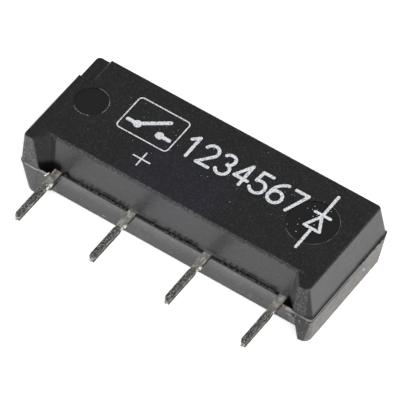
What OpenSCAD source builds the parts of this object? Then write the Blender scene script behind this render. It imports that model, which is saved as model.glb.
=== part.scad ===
// Single in-line reed relay in a one-piece moulded body.
// It lies on its flat back: +Z is out of the printed face, +X runs along the row of leads,
// and the leads point to -Y. The origin is under the middle of the whole outline, on the flat back.

/* [Moulded body] */
// Length of the body along its parting line
body_l = 19.7; // [18.6:0.1:26]
// Depth from the feet to the back along the parting line
body_d = 7.55; // [7.3:0.05:11]
// Thickness from the flat back to the printed face
body_t = 5.05; // [4.95:0.05:8]
// Height of the parting line above the flat back
part_z = 2.65; // [2.3:0.05:2.7]
// Radius of the upright corners
corner_r = 0.25; // [0.15:0.05:0.3]
// Radius of the rim round the printed face
face_rim_r = 0.14; // [0.05:0.01:0.2]
// Radius of the rim round the flat back
back_rim_r = 0.5; // [0.1:0.05:0.6]

/* [Mould draft] */
// How far each end leans in from the parting line to the printed face
end_draft_top = 0.24; // [0:0.01:0.5]
// How far the back leans in from the parting line to the printed face
back_draft_top = 0.27; // [0:0.01:0.5]
// How far each foot's front leans in from the parting line to the printed face
foot_draft_top = 0.04; // [0:0.01:0.3]
// How far each end leans in from the parting line to the flat back
end_draft_bottom = 0.21; // [0:0.01:0.6]
// How far the back leans in from the parting line to the flat back
back_draft_bottom = 0.06; // [0:0.01:0.6]
// How far each foot's front leans in from the parting line to the flat back
foot_draft_bottom = 0.02; // [0:0.01:0.4]
// How far the lower half's ends and back stand out past the upper half's
mould_step = 0.04; // [0:0.01:0.08]
// How far the moulding sits along +X from the middle of the row of leads
body_shift = -0.02; // [-0.06:0.01:0.06]

/* [Feet and recess] */
// Width of a foot's front at the parting line
foot_w = 1.2; // [0.9:0.05:1.3]
// Distance from the body's end to a foot's inner corner at the printed face
foot_w_top = 0.9; // [0.7:0.05:1.2]
// Distance from the body's end to a foot's inner corner at the flat back
foot_w_bottom = 0.8; // [0.7:0.05:1.2]
// Radius of the recess's lower edge, from foot to foot
toe_r = 0.35; // [0.1:0.05:0.4]
// Length of the sloping flank from a foot's front to the recess, along the body
flank_l = 0.55; // [0.3:0.05:0.6]
// How much longer the flank is at the printed face
flank_more_top = 0.1; // [0:0.05:0.2]
// How much longer the flank is at the flat back
flank_more_bottom = 0.1; // [0:0.05:0.2]
// Depth of the recess in the upper half at the parting line
recess_upper = 0.59; // [0.45:0.01:0.75]
// Depth of the recess at the printed face
recess_top = 0.86; // [0.6:0.01:0.95]
// Depth of the recess in the lower half at the parting line
recess_lower = 0.41; // [0.2:0.01:0.44]
// Depth of the recess at the flat back
recess_bottom = 0.83; // [0.6:0.01:1]
// Distance from the feet's fronts to the web of resin between each foot and the lead next to it
web_y = 0.05; // [0.03:0.01:0.15]
// Height of the web beside the first lead, down from the parting line
first_web_h = 1.4; // [0.4:0.1:1.6]
// Height of the web beside the last lead, down from the parting line
last_web_h = 0.6; // [0.4:0.1:1.6]
// How far each web reaches in under the lead
web_under = 0.05; // [0.01:0.01:0.1]
// Radius of the recess's inner corners
recess_r = 0.1; // [0.1:0.05:0.4]
// Radius of the edge between the recess and the printed face
edge_r = 0.13; // [0.05:0.01:0.2]

/* [Marks in the printed face] */
// Length of the lowered corner that marks the first lead
notch_l = 0.93; // [0.5:0.01:1.2]
// Width of the lowered corner, from the back
notch_w = 1.92; // [1:0.01:2.2]
// How far the corner is lowered
notch_depth = 0.4; // [0.1:0.05:0.6]
// Radius of the lowered corner's inner corner
notch_r = 0.25; // [0.1:0.05:0.4]
// Bevel round the lowered corner
notch_bevel = 0.05; // [0.02:0.01:0.08]
// Diameter of the ejector mark at the first lead's end
small_mark_d = 2; // [1:0.05:2.4]
// Distance of the small mark's centre from the body's end
small_mark_end = 2; // [1.6:0.05:2.6]
// Diameter of the ejector mark at the last lead's end
large_mark_d = 3; // [1:0.05:3.4]
// Distance of the large mark's centre from the body's end
large_mark_end = 2.75; // [2.4:0.05:3.4]
// Distance of both marks' centres from the feet's fronts
mark_y = 4.14; // [3.6:0.02:4.6]
// Depth of both marks
mark_depth = 0.05; // [0.02:0.01:0.12]

/* [Leads] */
// Distance from one lead to the next
pitch = 5.08; // [4.5:0.01:5.3]
// Thickness of the leads
lead_t = 0.25; // [0.2:0.01:0.3]
// Width of a lead's tail, from its neck to its tip
lead_w = 0.44; // [0.38:0.01:0.48]
// Width of a lead where it leaves the body
shoulder_w = 0.49; // [0.4:0.01:0.6]
// How far the leads reach out past the feet
lead_out = 3.4; // [2.5:0.1:5]
// How far out past the feet the trimmed tie bar starts
tie_out = 0.4; // [0.2:0.05:0.6]
// Length of the trimmed tie bar's stub along the lead
tie_l = 0.2; // [0.1:0.02:0.3]
// How far the trimmed tie bar stands out past a lead's shoulder
tie_stub = 0.05; // [0.01:0.01:0.1]
// Width of a lead's neck, where the punch bit into it
neck_w = 0.33; // [0.26:0.01:0.36]
// Length over which the neck widens into the tail
neck_l = 0.4; // [0.2:0.05:0.6]
// Radius on one side of a lead's tip, left by the punch
tip_r = 0.32; // [0.1:0.02:0.36]
// Width of the outer leads inside the body
leg_w = 0.7; // [0.5:0.05:0.8]
// Width of the arms on the inner leads
arm_w = 0.5; // [0.4:0.05:0.6]
// Distance from the feet's fronts to the near edge of the arms
arm_y = 1.3; // [1.2:0.05:1.5]
// Length of the pads that the reed's ends are welded to
pad_l = 1.1; // [0.8:0.1:1.4]
// How far those pads reach past the reed's ends, on each side
pad_border = 0.2; // [0.1:0.05:0.25]
// Width of the pads under the diode's leads
diode_pad_w = 0.7; // [0.5:0.05:0.8]
// How far the diode's pads reach in under its case
diode_pad_in = 0.1; // [0.05:0.05:0.2]
// How far the diode's pads reach out past its leads
diode_pad_out = 0.15; // [0.1:0.05:0.3]

/* [Reed switch] */
// Outer diameter of the glass capsule
glass_d = 2; // [1.7:0.05:2.4]
// Length of the glass capsule
glass_l = 10.5; // [9:0.1:10.8]
// Wall of the glass capsule
glass_wall = 0.28; // [0.2:0.02:0.3]
// Length of the glass melted round each reed wire
seal_l = 1.1; // [0.8:0.1:1.5]
// Diameter of the reed wires
reed_wire_d = 0.5; // [0.4:0.02:0.6]
// Width of a reed's flat blade
blade_w = 1; // [0.6:0.05:1.05]
// Thickness of a reed's flat blade
blade_t = 0.2; // [0.14:0.01:0.22]
// Length over which the two blades face each other
overlap_l = 0.8; // [0.4:0.1:1.2]
// Gap between the open contacts
contact_gap = 0.08; // [0.05:0.01:0.12]
// Width of a reed wire's flattened end
reed_end_w = 0.7; // [0.5:0.05:0.9]
// Height of a weld, from the pad to the reed's flattened end
weld_h = 0.05; // [0.05:0.01:0.08]
// How far a reed's end stops short of its pad's edge
reed_end_back = 0.05; // [0.02:0.01:0.1]
// Length over which a reed wire is pressed from round to flat
press_l = 0.4; // [0.3:0.05:0.6]

/* [Bobbin and winding] */
// Wall of the bobbin's tube
tube_wall = 0.22; // [0.18:0.01:0.25]
// Thickness of the bobbin's flanges
flange_t = 0.4; // [0.3:0.05:0.6]
// Depth of the winding on the bobbin's tube
winding_depth = 0.5; // [0.3:0.05:0.52]
// How far the flanges stand out past the winding
flange_lip = 0.1; // [0.05:0.01:0.12]
// Diameter of the wires that lead the winding out
wire_d = 0.08; // [0.06:0.01:0.1]
// Turns of each wire round the arm that it is joined to
wrap_turns = 3; // [1:1:3]
// Distance between those turns, in wire diameters
wrap_spacing = 1.5; // [1.2:0.1:1.8]
// Distance from the last turn to the arm's end
wrap_end = 0.1; // [0.05:0.01:0.2]
// How far an arm stops short of the flange's outer face
arm_end_back = 0.15; // [0.1:0.05:0.2]

/* [Diode] */
// Length of the diode's case
diode_l = 1.7; // [1.4:0.1:1.9]
// Width of the diode's case
diode_w = 1.25; // [0.9:0.05:1.3]
// Height of the diode's case
diode_h = 0.85; // [0.7:0.05:1]
// Length over the diode's two leads
diode_span = 2.5; // [2.4:0.1:2.8]
// Width of the diode's leads
diode_lead_w = 0.3; // [0.25:0.05:0.4]
// Thickness of the diode's leads
diode_lead_t = 0.12; // [0.1:0.01:0.15]
// Length of a diode lead's straight run out of the case
diode_step = 0.1; // [0.05:0.01:0.15]
// How far each side of the diode's case leans to its middle
diode_draft = 0.06; // [0.02:0.01:0.1]
// Thickness of the solder under the diode's leads
solder_t = 0.05; // [0.03:0.01:0.08]
// How far the solder spreads past each diode lead
solder_spread = 0.08; // [0.04:0.01:0.1]

/* [Clearances] */
// Gap between the resin and what it holds
resin_gap = 0.02; // [0.01:0.01:0.04]
// Gap on each side of a lead where it leaves the resin
exit_gap = 0.01; // [0.01:0.01:0.04]
// Gap round the reed wires where they bend outside the glass
reed_room = 0.08; // [0.06:0.01:0.1]
// Gap between a reed wire and the glass melted round it
seal_gap = 0.02; // [0.02:0.01:0.04]
// Gap between the glass capsule and the bobbin's bore
bore_gap = 0.05; // [0.03:0.01:0.08]
// Gap between the bobbin and the outer leads
end_gap = 0.7; // [0.5:0.05:0.8]
// Gap between the arms and the bobbin's flanges, seen from above
arm_gap = 0.75; // [0.7:0.05:0.9]
// Gap between the winding and each flange
winding_gap = 0.02; // [0.01:0.01:0.04]
// Gap between a turn of wire and the arm's corners
wrap_gap = 0.02; // [0.01:0.01:0.04]

/* [Hidden] */
$fn = 48;

// A slice that a hull starts or ends on
slice = 0.001;
// How far a cutter runs past the face that it opens
past = 1;
// The least that a corner's radius stays above its rim's
least_corner = 0.05;

// The seating plane at the feet's fronts, and the ends and back of the outline
seat_y = (lead_out - body_d) / 2;
half_l = body_l / 2;

// Places of the leads, from the first to the last
outer_x = 1.5 * pitch;
inner_x = 0.5 * pitch;
lead_z = part_z - lead_t;

// Bobbin, from the bore outwards
bore_r = glass_d / 2 + bore_gap;
tube_r = bore_r + tube_wall;
winding_r = tube_r + winding_depth;
flange_r = winding_r + flange_lip;
bobbin_half = outer_x - leg_w / 2 - end_gap;
winding_half = bobbin_half - flange_t;
// How far a flange's slot stays above the tube
slot_floor = 0.03;

// The reed's axis: its flattened ends lie over the outer leads' pads
reed_z = part_z + weld_h + blade_t / 2;
reed_y = arm_y + arm_w + arm_gap + flange_r;
seal_x = glass_l / 2 - seal_l;
reed_end_x = outer_x + pad_l / 2 - reed_end_back;
flat_start_x = outer_x - pad_l / 2;
blade_z = (contact_gap + blade_t) / 2;

// Diode and the pads at the inner ends of the arms
arm_mid_y = arm_y + arm_w / 2;
arm_inner_x = diode_l / 2 - diode_pad_in;
arm_outer_x = bobbin_half - arm_end_back;
diode_z = part_z + solder_t;
wrap_pitch = wrap_spacing * wire_d;
wrap_x = arm_outer_x - wrap_end - wrap_turns * wrap_pitch;
flange_mid_x = bobbin_half - flange_t / 2;
diode_bend_x = diode_l / 2 + diode_step;

// Shapes that repeat

// A disc with a rounded rim, centred on the rim's height
module rounded_disc(r, rim) {
    rotate_extrude($fn = 40)
        intersection() {
            translate([r - rim, 0])
                circle(r = rim, $fn = 24);
            translate([0, -rim])
                square([r, 2 * rim]);
        }
}

// Four upright corners of a rectangle from (x0, y0) to (x1, y1)
module at_corners(x0, y0, x1, y1, r) {
    for (x = [x0 + r, x1 - r], y = [y0 + r, y1 - r])
        translate([x, y, 0])
            children();
}

// One half of the body: from the parting line to a face inset by the ends', front's and back's draft,
// with a rounded rim
module body_half(draft, step, height, rim) {
    face_corner_r = max(corner_r, rim + least_corner);
    hull() {
        at_corners(-half_l - step, 0, half_l + step, body_d + step, corner_r)
            cylinder(h = slice, r = corner_r, $fn = 40);
        translate([0, 0, height - rim])
            at_corners(-half_l + draft[0], draft[1], half_l - draft[0], body_d - draft[2], face_corner_r)
                rounded_disc(face_corner_r, rim);
    }
}

// One level of the space between the feet
module recess_level(z, foot, flank, depth, r) {
    wall_x = half_l - foot - flank;
    translate([0, 0, z]) {
        translate([-half_l + foot - past, -2 * past, 0])
            cube([2 * (half_l - foot + past), slice, slice]);
        translate([-half_l + foot, -slice, 0])
            cube([2 * (half_l - foot), slice, slice]);
        for (side = [-1, 1])
            translate([side * (wall_x - r), depth - r, 0])
                cylinder(h = slice, r = r, $fn = 40);
    }
}

// The space between the feet in the upper half. Two narrow slopes round its edge to the printed face.
module recess_above() {
    rise = body_t - part_z;
    depth_lean = (recess_top - recess_upper) / rise;
    foot_lean = (foot_w - foot_w_top) / rise;
    flank = flank_l + flank_more_top;
    over_foot = foot_w_top - past * foot_lean;
    over_depth = recess_top + past * depth_lean;
    turn_z = body_t - edge_r / 2;
    turn_out = edge_r * (1 - cos(30));
    turn_foot = foot_w_top - turn_out;
    hull() {
        recess_level(part_z, foot_w, flank_l, recess_upper, recess_r);
        recess_level(body_t + past, over_foot, flank, over_depth, recess_r);
    }
    hull() {
        recess_level(body_t - edge_r, foot_w_top, flank, recess_top, recess_r);
        recess_level(turn_z, turn_foot, flank, recess_top + turn_out, recess_r + turn_out);
    }
    hull() {
        recess_level(turn_z, turn_foot, flank, recess_top + turn_out, recess_r + turn_out);
        recess_level(body_t, foot_w_top - edge_r, flank, recess_top + edge_r, recess_r + edge_r);
    }
}

// The space between the feet in the lower half, but for the webs beside the outer leads
module recess_below() {
    front_lean = (recess_bottom - recess_lower) / part_z;
    foot_lean = (foot_w - foot_w_bottom) / part_z;
    flank = flank_l + flank_more_bottom;
    under_foot = foot_w_bottom - past * foot_lean;
    under_depth = recess_bottom + past * front_lean;
    difference() {
        hull() {
            recess_level(part_z, foot_w, flank_l, recess_lower, recess_r);
            recess_level(-past, under_foot, flank, under_depth, recess_r);
        }
        web(-1, first_web_h);
        web(1, last_web_h);
    }
    // The rounded lower edge: along the front, round each inner corner, and out along each flank
    corner_x = half_l - foot_w_bottom - flank - recess_r;
    corner_y = recess_bottom - recess_r;
    reach = [flank + recess_r, corner_y];
    turn = atan2(reach[1], reach[0]) + asin(recess_r / norm(reach));
    run = sqrt(reach * reach - recess_r * recess_r);
    translate([0, recess_bottom, 0])
        along_x(-corner_x, corner_x)
            toe_profile(front_lean, past);
    for (side = [0, 1])
        mirror([side, 0, 0]) {
            translate([-corner_x, corner_y, 0])
                rotate_extrude($fn = 64)
                    translate([recess_r, 0])
                        toe_profile(front_lean, recess_r);
            translate([-half_l + foot_w_bottom, 0, 0])
                rotate([0, 0, turn])
                    along_x(-past, run)
                        toe_profile(foot_lean * sin(turn), past);
        }
}

// Where resin fills the space between a foot and the lead next to it
module web(side, h) {
    in = outer_x + shoulder_w / 2 - web_under - side * body_shift;
    translate([side > 0 ? in : -half_l, web_y, part_z - h])
        cube([half_l - in, past, h + past]);
}

// What rounds a wall's lower edge, seen along that edge. The wall leans out by lean in each mm of height,
// and the profile reaches back by near into the open space.
module toe_profile(lean, near) {
    out = toe_r * (1 - lean);
    difference() {
        translate([-near, -past])
            square([near + out, past + toe_r]);
        translate([out, toe_r])
            circle(r = toe_r);
    }
}

// A profile with Y across and Z up, run along X
module along_x(x0, x1) {
    translate([x0, 0, 0])
        rotate([90, 0, 90])
            linear_extrude(x1 - x0)
                children();
}

// The lowered corner with its bevelled rim, and the two ejector marks
module face_marks() {
    notch_x = -half_l + end_draft_top + notch_l;
    notch_y = body_d - back_draft_top - notch_w;
    bevel = notch_bevel;
    translate([0, 0, body_t - notch_depth])
        linear_extrude(notch_depth + past) {
            translate([-half_l - past, notch_y + notch_r])
                square([notch_x + half_l + past, body_d]);
            translate([-half_l - past, notch_y])
                square([notch_x + half_l + past - notch_r, body_d]);
            translate([notch_x - notch_r, notch_y + notch_r])
                circle(r = notch_r);
        }
    translate([notch_x, body_d + past, body_t])
        rotate([90, 0, 0])
            linear_extrude(body_d + past - notch_y - notch_r)
                polygon([[-bevel, -bevel], [0, -bevel], [bevel, 0], [bevel, slice], [-bevel, slice]]);
    translate([0, notch_y, body_t])
        along_x(-half_l - past, notch_x - notch_r)
            polygon([[bevel, -bevel], [bevel, slice], [-bevel, slice], [-bevel, 0], [0, -bevel]]);
    translate([notch_x - notch_r, notch_y + notch_r, body_t - bevel])
        cylinder(h = bevel + slice, r1 = notch_r, r2 = notch_r + bevel);
    translate([-half_l + small_mark_end, mark_y, body_t - mark_depth])
        cylinder(h = past, d = small_mark_d, $fn = 96);
    translate([half_l - large_mark_end, mark_y, body_t - mark_depth])
        cylinder(h = past, d = large_mark_d, $fn = 96);
}

// A bar along X between two places, centred on y
module bar(x0, x1, y, w, g) {
    translate([min(x0, x1) - g, y - w / 2 - g])
        square([abs(x1 - x0) + 2 * g, w + 2 * g]);
}

// The visible run of a lead seen from above, grown by g where the resin clears it
module tail_plan(x, g = 0) {
    tip_y = -lead_out;
    neck_y = -tie_out - tie_l;
    tail_y = neck_y - neck_l;
    translate([x - shoulder_w / 2 - g, -tie_out])
        square([shoulder_w + 2 * g, tie_out + arm_y + arm_w / 2]);
    translate([x, 0])
        polygon([[-shoulder_w / 2, 0], [-shoulder_w / 2, -tie_out], [-neck_w / 2, neck_y + tie_l / 2],
                 [-neck_w / 2, neck_y], [-lead_w / 2, tail_y], [-lead_w / 2, tail_y - tip_r],
                 [lead_w / 2, tail_y - tip_r], [lead_w / 2, tail_y], [neck_w / 2, neck_y - tie_l / 4],
                 [shoulder_w / 2 + tie_stub, neck_y], [shoulder_w / 2 + tie_stub, -tie_out - tie_l / 4],
                 [shoulder_w / 2, -tie_out], [shoulder_w / 2, 0]]);
    translate([x - lead_w / 2, tip_y + tip_r])
        square([lead_w, tail_y - tip_y - tip_r]);
    translate([x - lead_w / 2 + tip_r, tip_y])
        square([lead_w - tip_r, tip_r]);
    intersection() {
        translate([x - lead_w / 2 + tip_r, tip_y + tip_r])
            circle(r = tip_r);
        translate([x - lead_w / 2, tip_y])
            square([tip_r, tip_r]);
    }
}

// An outer lead: a leg that runs in beside the coil to the pad under the reed's end
module outer_lead_plan(side, g = 0) {
    tail_plan(side * outer_x, g);
    translate([side * outer_x - leg_w / 2 - g, arm_y - g])
        square([leg_w + 2 * g, reed_y + reed_end_w / 2 + pad_border - arm_y + 2 * g]);
    reed_pad_plan(side, g);
}

// The pad under a reed's end
module reed_pad_plan(side, g) {
    bar(side * (outer_x - pad_l / 2), side * (outer_x + pad_l / 2), reed_y, reed_end_w + 2 * pad_border, g);
}

// An inner lead: an arm out to the end of the coil, and a pad for the diode
module inner_lead_plan(side, g = 0) {
    tail_plan(side * inner_x, g);
    bar(side * arm_inner_x, side * arm_outer_x, arm_mid_y, arm_w, g);
    bar(side * arm_inner_x, side * (diode_span / 2 + diode_pad_out), arm_mid_y, diode_pad_w, g);
}

// A lead of sheet metal from its plan
module sheet_lead() {
    translate([0, 0, lead_z])
        linear_extrude(lead_t)
            children();
}

// A round bar along X, centred on the reed's axis
module reed_rod(x0, x1, r) {
    translate([min(x0, x1), reed_y, reed_z])
        rotate([0, 90, 0])
            cylinder(h = abs(x1 - x0), r = r, $fn = 64);
}

// Route of a winding's end, from inside the winding to its turns round the arm
wrap_a = arm_w / 2 * sqrt(2) + wire_d / 2 + wrap_gap;
wrap_b = lead_t / 2 * sqrt(2) + wire_d / 2 + wrap_gap;
wrap_steps = 14;
lead_mid_z = lead_z + lead_t / 2;
function wrap_point(side, i) =
    let (turn = 360 * i / wrap_steps + 90)
    [side * (wrap_x + wrap_pitch * i / wrap_steps),
     arm_mid_y + wrap_a * cos(turn),
     lead_mid_z + wrap_b * sin(turn)];
function wire_route(side, depth) =
    let (wire_y = reed_y - winding_r + depth)
    concat(
        // Out of the winding's end and into the flange's slot
        [[side * (winding_half - 0.15), wire_y, reed_z],
         [side * (winding_half + 0.06), wire_y, reed_z],
         // Down the slot and out past the flange
         [side * flange_mid_x, wire_y - 0.08, reed_z + 0.01],
         [side * flange_mid_x, reed_y - flange_r - 0.15, reed_z + 0.06],
         // Across to the arm, and over onto it
         [side * (flange_mid_x - 0.12), arm_mid_y + wrap_a + 0.25, reed_z + 0.12],
         [side * (wrap_x + 0.2 * (flange_mid_x - wrap_x)), arm_mid_y + 0.8 * wrap_a, lead_mid_z + wrap_b]],
        [for (i = [0 : wrap_steps * wrap_turns]) wrap_point(side, i)]);

// A round wire carried along a route of points, with flat ends
wire_sides = 8;
function unit(v) = v / norm(v);
function way(p, i) = unit(p[min(i + 1, len(p) - 1)] - p[max(i - 1, 0)]);
function across(t, n) = unit(n - t * (n * t));
function frames(p, i, n) = i >= len(p) ? [] :
    let (m = across(way(p, i), n)) concat([m], frames(p, i + 1, m));
module swept_wire(p, d) {
    start = across(way(p, 0), [0.3, 0.1, 1]);
    m = frames(p, 0, start);
    rings = [for (i = [0 : len(p) - 1])
        let (t = way(p, i), b = cross(t, m[i]))
        for (k = [0 : wire_sides - 1])
            p[i] + d / 2 * (cos(360 * k / wire_sides) * m[i] + sin(360 * k / wire_sides) * b)];
    last = (len(p) - 1) * wire_sides;
    walls = [for (i = [0 : len(p) - 2], k = [0 : wire_sides - 1])
        let (a = i * wire_sides, k2 = (k + 1) % wire_sides)
        [a + k, a + wire_sides + k, a + wire_sides + k2, a + k2]];
    ends = [[for (k = [0 : wire_sides - 1]) k],
            [for (k = [wire_sides - 1 : -1 : 0]) last + k]];
    polyhedron(rings, concat(walls, ends), convexity = 6);
}

// Room in the resin for everything that it holds
module held_space() {
    g = resin_gap;
    // Bobbin, winding and reed
    reed_rod(-winding_half, winding_half, winding_r + g);
    for (side = [-1, 1]) {
        reed_rod(side * (winding_half - g), side * (bobbin_half + g), flange_r + g);
        reed_rod(side * bobbin_half, side * (flat_start_x + reed_room), reed_wire_d / 2 + reed_room);
        translate([side > 0 ? flat_start_x - press_l / 2 : -reed_end_x - reed_room,
                   reed_y - reed_end_w / 2 - reed_room, reed_z - blade_t / 2 - reed_room])
            cube([reed_end_x + reed_room - flat_start_x + press_l / 2, reed_end_w + 2 * reed_room,
                  blade_t + 2 * reed_room]);
    }
    // Leads
    translate([0, 0, lead_z - g])
        linear_extrude(lead_t + g + slice)
            for (side = [-1, 1]) {
                outer_lead_plan(side, exit_gap);
                inner_lead_plan(side, exit_gap);
            }
    translate([0, 0, part_z])
        linear_extrude(g)
            for (side = [-1, 1])
                reed_pad_plan(side, g);
    // Turns of wire round each arm, and the way from the flange to them
    for (side = [-1, 1]) {
        x0 = wrap_x - wire_d;
        x1 = wrap_x + wrap_turns * wrap_pitch + wire_d;
        translate([side > 0 ? x0 : -x1, arm_mid_y, lead_mid_z])
            rotate([0, 90, 0])
                cylinder(h = x1 - x0, r = wrap_a + wire_d / 2 + g);
        translate([side > 0 ? wrap_x : -flange_mid_x - wire_d, arm_mid_y, lead_mid_z + wire_d])
            cube([flange_mid_x + wire_d - wrap_x, reed_y - flange_r + flange_lip - arm_mid_y,
                  reed_z + 2 * wire_d - lead_mid_z]);
    }
    // Diode with its leads and solder
    translate([-diode_l / 2 - g, arm_mid_y - diode_w / 2 - g, part_z - slice])
        cube([diode_l + 2 * g, diode_w + 2 * g, solder_t + diode_h + g]);
    foot_g = solder_spread + g;
    translate([-diode_span / 2 - foot_g, arm_mid_y - diode_lead_w / 2 - foot_g, part_z - slice])
        cube([diode_span + 2 * foot_g, diode_lead_w + 2 * foot_g, solder_t + diode_h / 2 + diode_lead_t + g]);
}

// The pieces

// One moulding with both feet, filled round all that it holds
module moulded_body() {
    color([0.16, 0.16, 0.17])
        translate([0, seat_y, 0])
            difference() {
                translate([body_shift, 0, 0])
                    difference() {
                        translate([0, 0, part_z]) {
                            body_half([end_draft_top, foot_draft_top, back_draft_top], 0,
                                      body_t - part_z, face_rim_r);
                            mirror([0, 0, 1])
                                body_half([end_draft_bottom, foot_draft_bottom, back_draft_bottom],
                                          mould_step, part_z, back_rim_r);
                        }
                        recess_above();
                        recess_below();
                        face_marks();
                    }
                held_space();
            }
}

// Lead of the reed's left blade
module pin_1() {
    color([0.68, 0.67, 0.63])
        translate([0, seat_y, 0])
            sheet_lead() outer_lead_plan(-1);
}

// Lead of the winding's start, joined to the diode's cathode
module pin_3() {
    color([0.68, 0.67, 0.63])
        translate([0, seat_y, 0])
            sheet_lead() inner_lead_plan(-1);
}

// Lead of the winding's finish, joined to the diode's anode
module pin_5() {
    color([0.68, 0.67, 0.63])
        translate([0, seat_y, 0])
            sheet_lead() inner_lead_plan(1);
}

// Lead of the reed's right blade
module pin_7() {
    color([0.68, 0.67, 0.63])
        translate([0, seat_y, 0])
            sheet_lead() outer_lead_plan(1);
}

// Glass capsule: a tube whose ends are melted down onto the reed wires
module reed_glass() {
    end_r = 0.45;
    cave_end_r = 0.2;
    cave_r = glass_d / 2 - glass_wall;
    color([0.55, 0.72, 0.6, 0.5])
        translate([0, seat_y + reed_y, reed_z])
            rotate([0, 90, 0])
                rotate_extrude($fn = 64)
                    difference() {
                        union() {
                            translate([0, -glass_l / 2 + end_r])
                                square([glass_d / 2, glass_l - 2 * end_r]);
                            translate([0, -glass_l / 2])
                                square([glass_d / 2 - end_r, glass_l]);
                            for (side = [-1, 1])
                                translate([glass_d / 2 - end_r, side * (glass_l / 2 - end_r)])
                                    circle(r = end_r);
                        }
                        translate([0, -glass_l])
                            square([reed_wire_d / 2 + seal_gap, 2 * glass_l]);
                        translate([0, -seal_x + cave_end_r])
                            square([cave_r, 2 * (seal_x - cave_end_r)]);
                        translate([0, -seal_x])
                            square([cave_r - cave_end_r, 2 * seal_x]);
                        for (side = [-1, 1])
                            translate([cave_r - cave_end_r, side * (seal_x - cave_end_r)])
                                circle(r = cave_end_r);
                        translate([-glass_d, -glass_l])
                            square([glass_d, 2 * glass_l]);
                    }
}

// A reed: round wire through the glass, pressed to a spring blade inside and to a weld end outside
module reed(side) {
    round_past_seal = 0.1;
    wire_half = reed_wire_d / 2 + 0.02;
    blade_under = -blade_z - blade_t / 2;
    blade_over = -blade_z + blade_t / 2;
    tip_x = -overlap_l / 2;
    wire_in = seal_x - round_past_seal;
    blade_x = wire_in - press_l;
    wire_out = flat_start_x - press_l;
    rod_in = blade_x + press_l / 4;
    rod_out = flat_start_x - press_l / 4;
    color([0.72, 0.72, 0.7])
        translate([0, seat_y, 0])
            intersection() {
                // Thickness, seen from the front
                translate([0, reed_y + blade_w, reed_z])
                    rotate([90, 0, 0])
                        linear_extrude(2 * blade_w)
                            polygon([for (q = [[tip_x, blade_under], [blade_x, blade_under],
                                               [wire_in, -wire_half], [wire_out, -wire_half],
                                               [flat_start_x, -blade_t / 2], [reed_end_x, -blade_t / 2],
                                               [reed_end_x, blade_t / 2], [flat_start_x, blade_t / 2],
                                               [wire_out, wire_half], [wire_in, wire_half],
                                               [blade_x, blade_over], [tip_x, blade_over]])
                                     side * q]);
                // Width, seen from above
                union() {
                    translate([0, reed_y, reed_z - reed_wire_d])
                        linear_extrude(2 * reed_wire_d) {
                            polygon([for (q = [[tip_x, -blade_w / 2], [blade_x, -blade_w / 2], [wire_in, 0],
                                               [blade_x, blade_w / 2], [tip_x, blade_w / 2]])
                                     side * q]);
                            polygon([for (q = [[reed_end_x, -reed_end_w / 2], [flat_start_x, -reed_end_w / 2],
                                               [wire_out, 0], [flat_start_x, reed_end_w / 2],
                                               [reed_end_x, reed_end_w / 2]])
                                     side * q]);
                        }
                    reed_rod(side * rod_in, side * rod_out, reed_wire_d / 2);
                }
            }
}

// Reed on the first lead, the upper of the two at the contacts
module reed_blade_left() {
    reed(-1);
}

// Reed on the last lead, the lower of the two at the contacts
module reed_blade_right() {
    reed(1);
}

// Bobbin: a tube with two flanges, each slotted for a winding's end
module bobbin() {
    color([0.85, 0.83, 0.76])
        translate([0, seat_y + reed_y, reed_z])
            difference() {
                rotate([0, 90, 0])
                    rotate_extrude($fn = 64)
                        difference() {
                            union() {
                                translate([0, -bobbin_half])
                                    square([tube_r, 2 * bobbin_half]);
                                for (side = [0, 1])
                                    translate([0, side == 0 ? -bobbin_half : bobbin_half - flange_t])
                                        square([flange_r, flange_t]);
                            }
                            translate([0, -bobbin_half - past])
                                square([bore_r, 2 * (bobbin_half + past)]);
                        }
                slot_l = flange_t + past + slot_floor;
                for (x = [-bobbin_half - past, winding_half - slot_floor])
                    translate([x, -flange_r - past, -1.5 * wire_d])
                        cube([slot_l, flange_r + past - tube_r - slot_floor, 4 * wire_d]);
            }
}

// Winding: all its turns as one ring, with both wire ends brought out to the inner leads
module coil_winding() {
    crown = 0.12;
    w = winding_half - winding_gap;
    color([0.72, 0.38, 0.18])
        translate([0, seat_y, 0]) {
            translate([0, reed_y, reed_z])
                rotate([0, 90, 0])
                    rotate_extrude($fn = 64)
                        polygon([[tube_r, -w], [winding_r - crown, -w], [winding_r, -w + crown],
                                 [winding_r, w - crown], [winding_r - crown, w], [tube_r, w]]);
            swept_wire(wire_route(-1, winding_depth - wire_d), wire_d);
            swept_wire(wire_route(1, 2 * wire_d), wire_d);
        }
}

// Case of the diode across the winding, with its own mould draft
module diode_case() {
    mid = diode_h / 2;
    out = diode_l / 2;
    in = out - diode_draft;
    color([0.2, 0.2, 0.21])
        translate([0, seat_y + arm_mid_y + diode_w / 2, diode_z])
            rotate([90, 0, 0])
                linear_extrude(diode_w)
                    polygon([[-in, 0], [in, 0], [out, mid], [in, diode_h], [-in, diode_h], [-out, mid]]);
}

// A diode lead, folded down from the case's end onto its pad
module diode_lead(side) {
    mid = diode_h / 2;
    t = diode_lead_t;
    out = diode_span / 2;
    case_x = diode_l / 2;
    case_in = diode_draft * t / mid;
    bend = diode_bend_x;
    color([0.75, 0.74, 0.72])
        translate([0, seat_y + arm_mid_y + diode_lead_w / 2, diode_z])
            rotate([90, 0, 0])
                linear_extrude(diode_lead_w)
                    polygon([for (q = [[case_x, mid], [bend, mid], [bend, 0], [out, 0],
                                       [out, t], [bend + t, t], [bend + t, mid + t],
                                       [case_x - case_in, mid + t]])
                             [side * q[0], q[1]]]);
}

// Lead at the diode's banded end, on the second lead's pad
module diode_cathode_lead() {
    diode_lead(-1);
}

// Lead at the diode's plain end, on the third lead's pad
module diode_anode_lead() {
    diode_lead(1);
}

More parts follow.
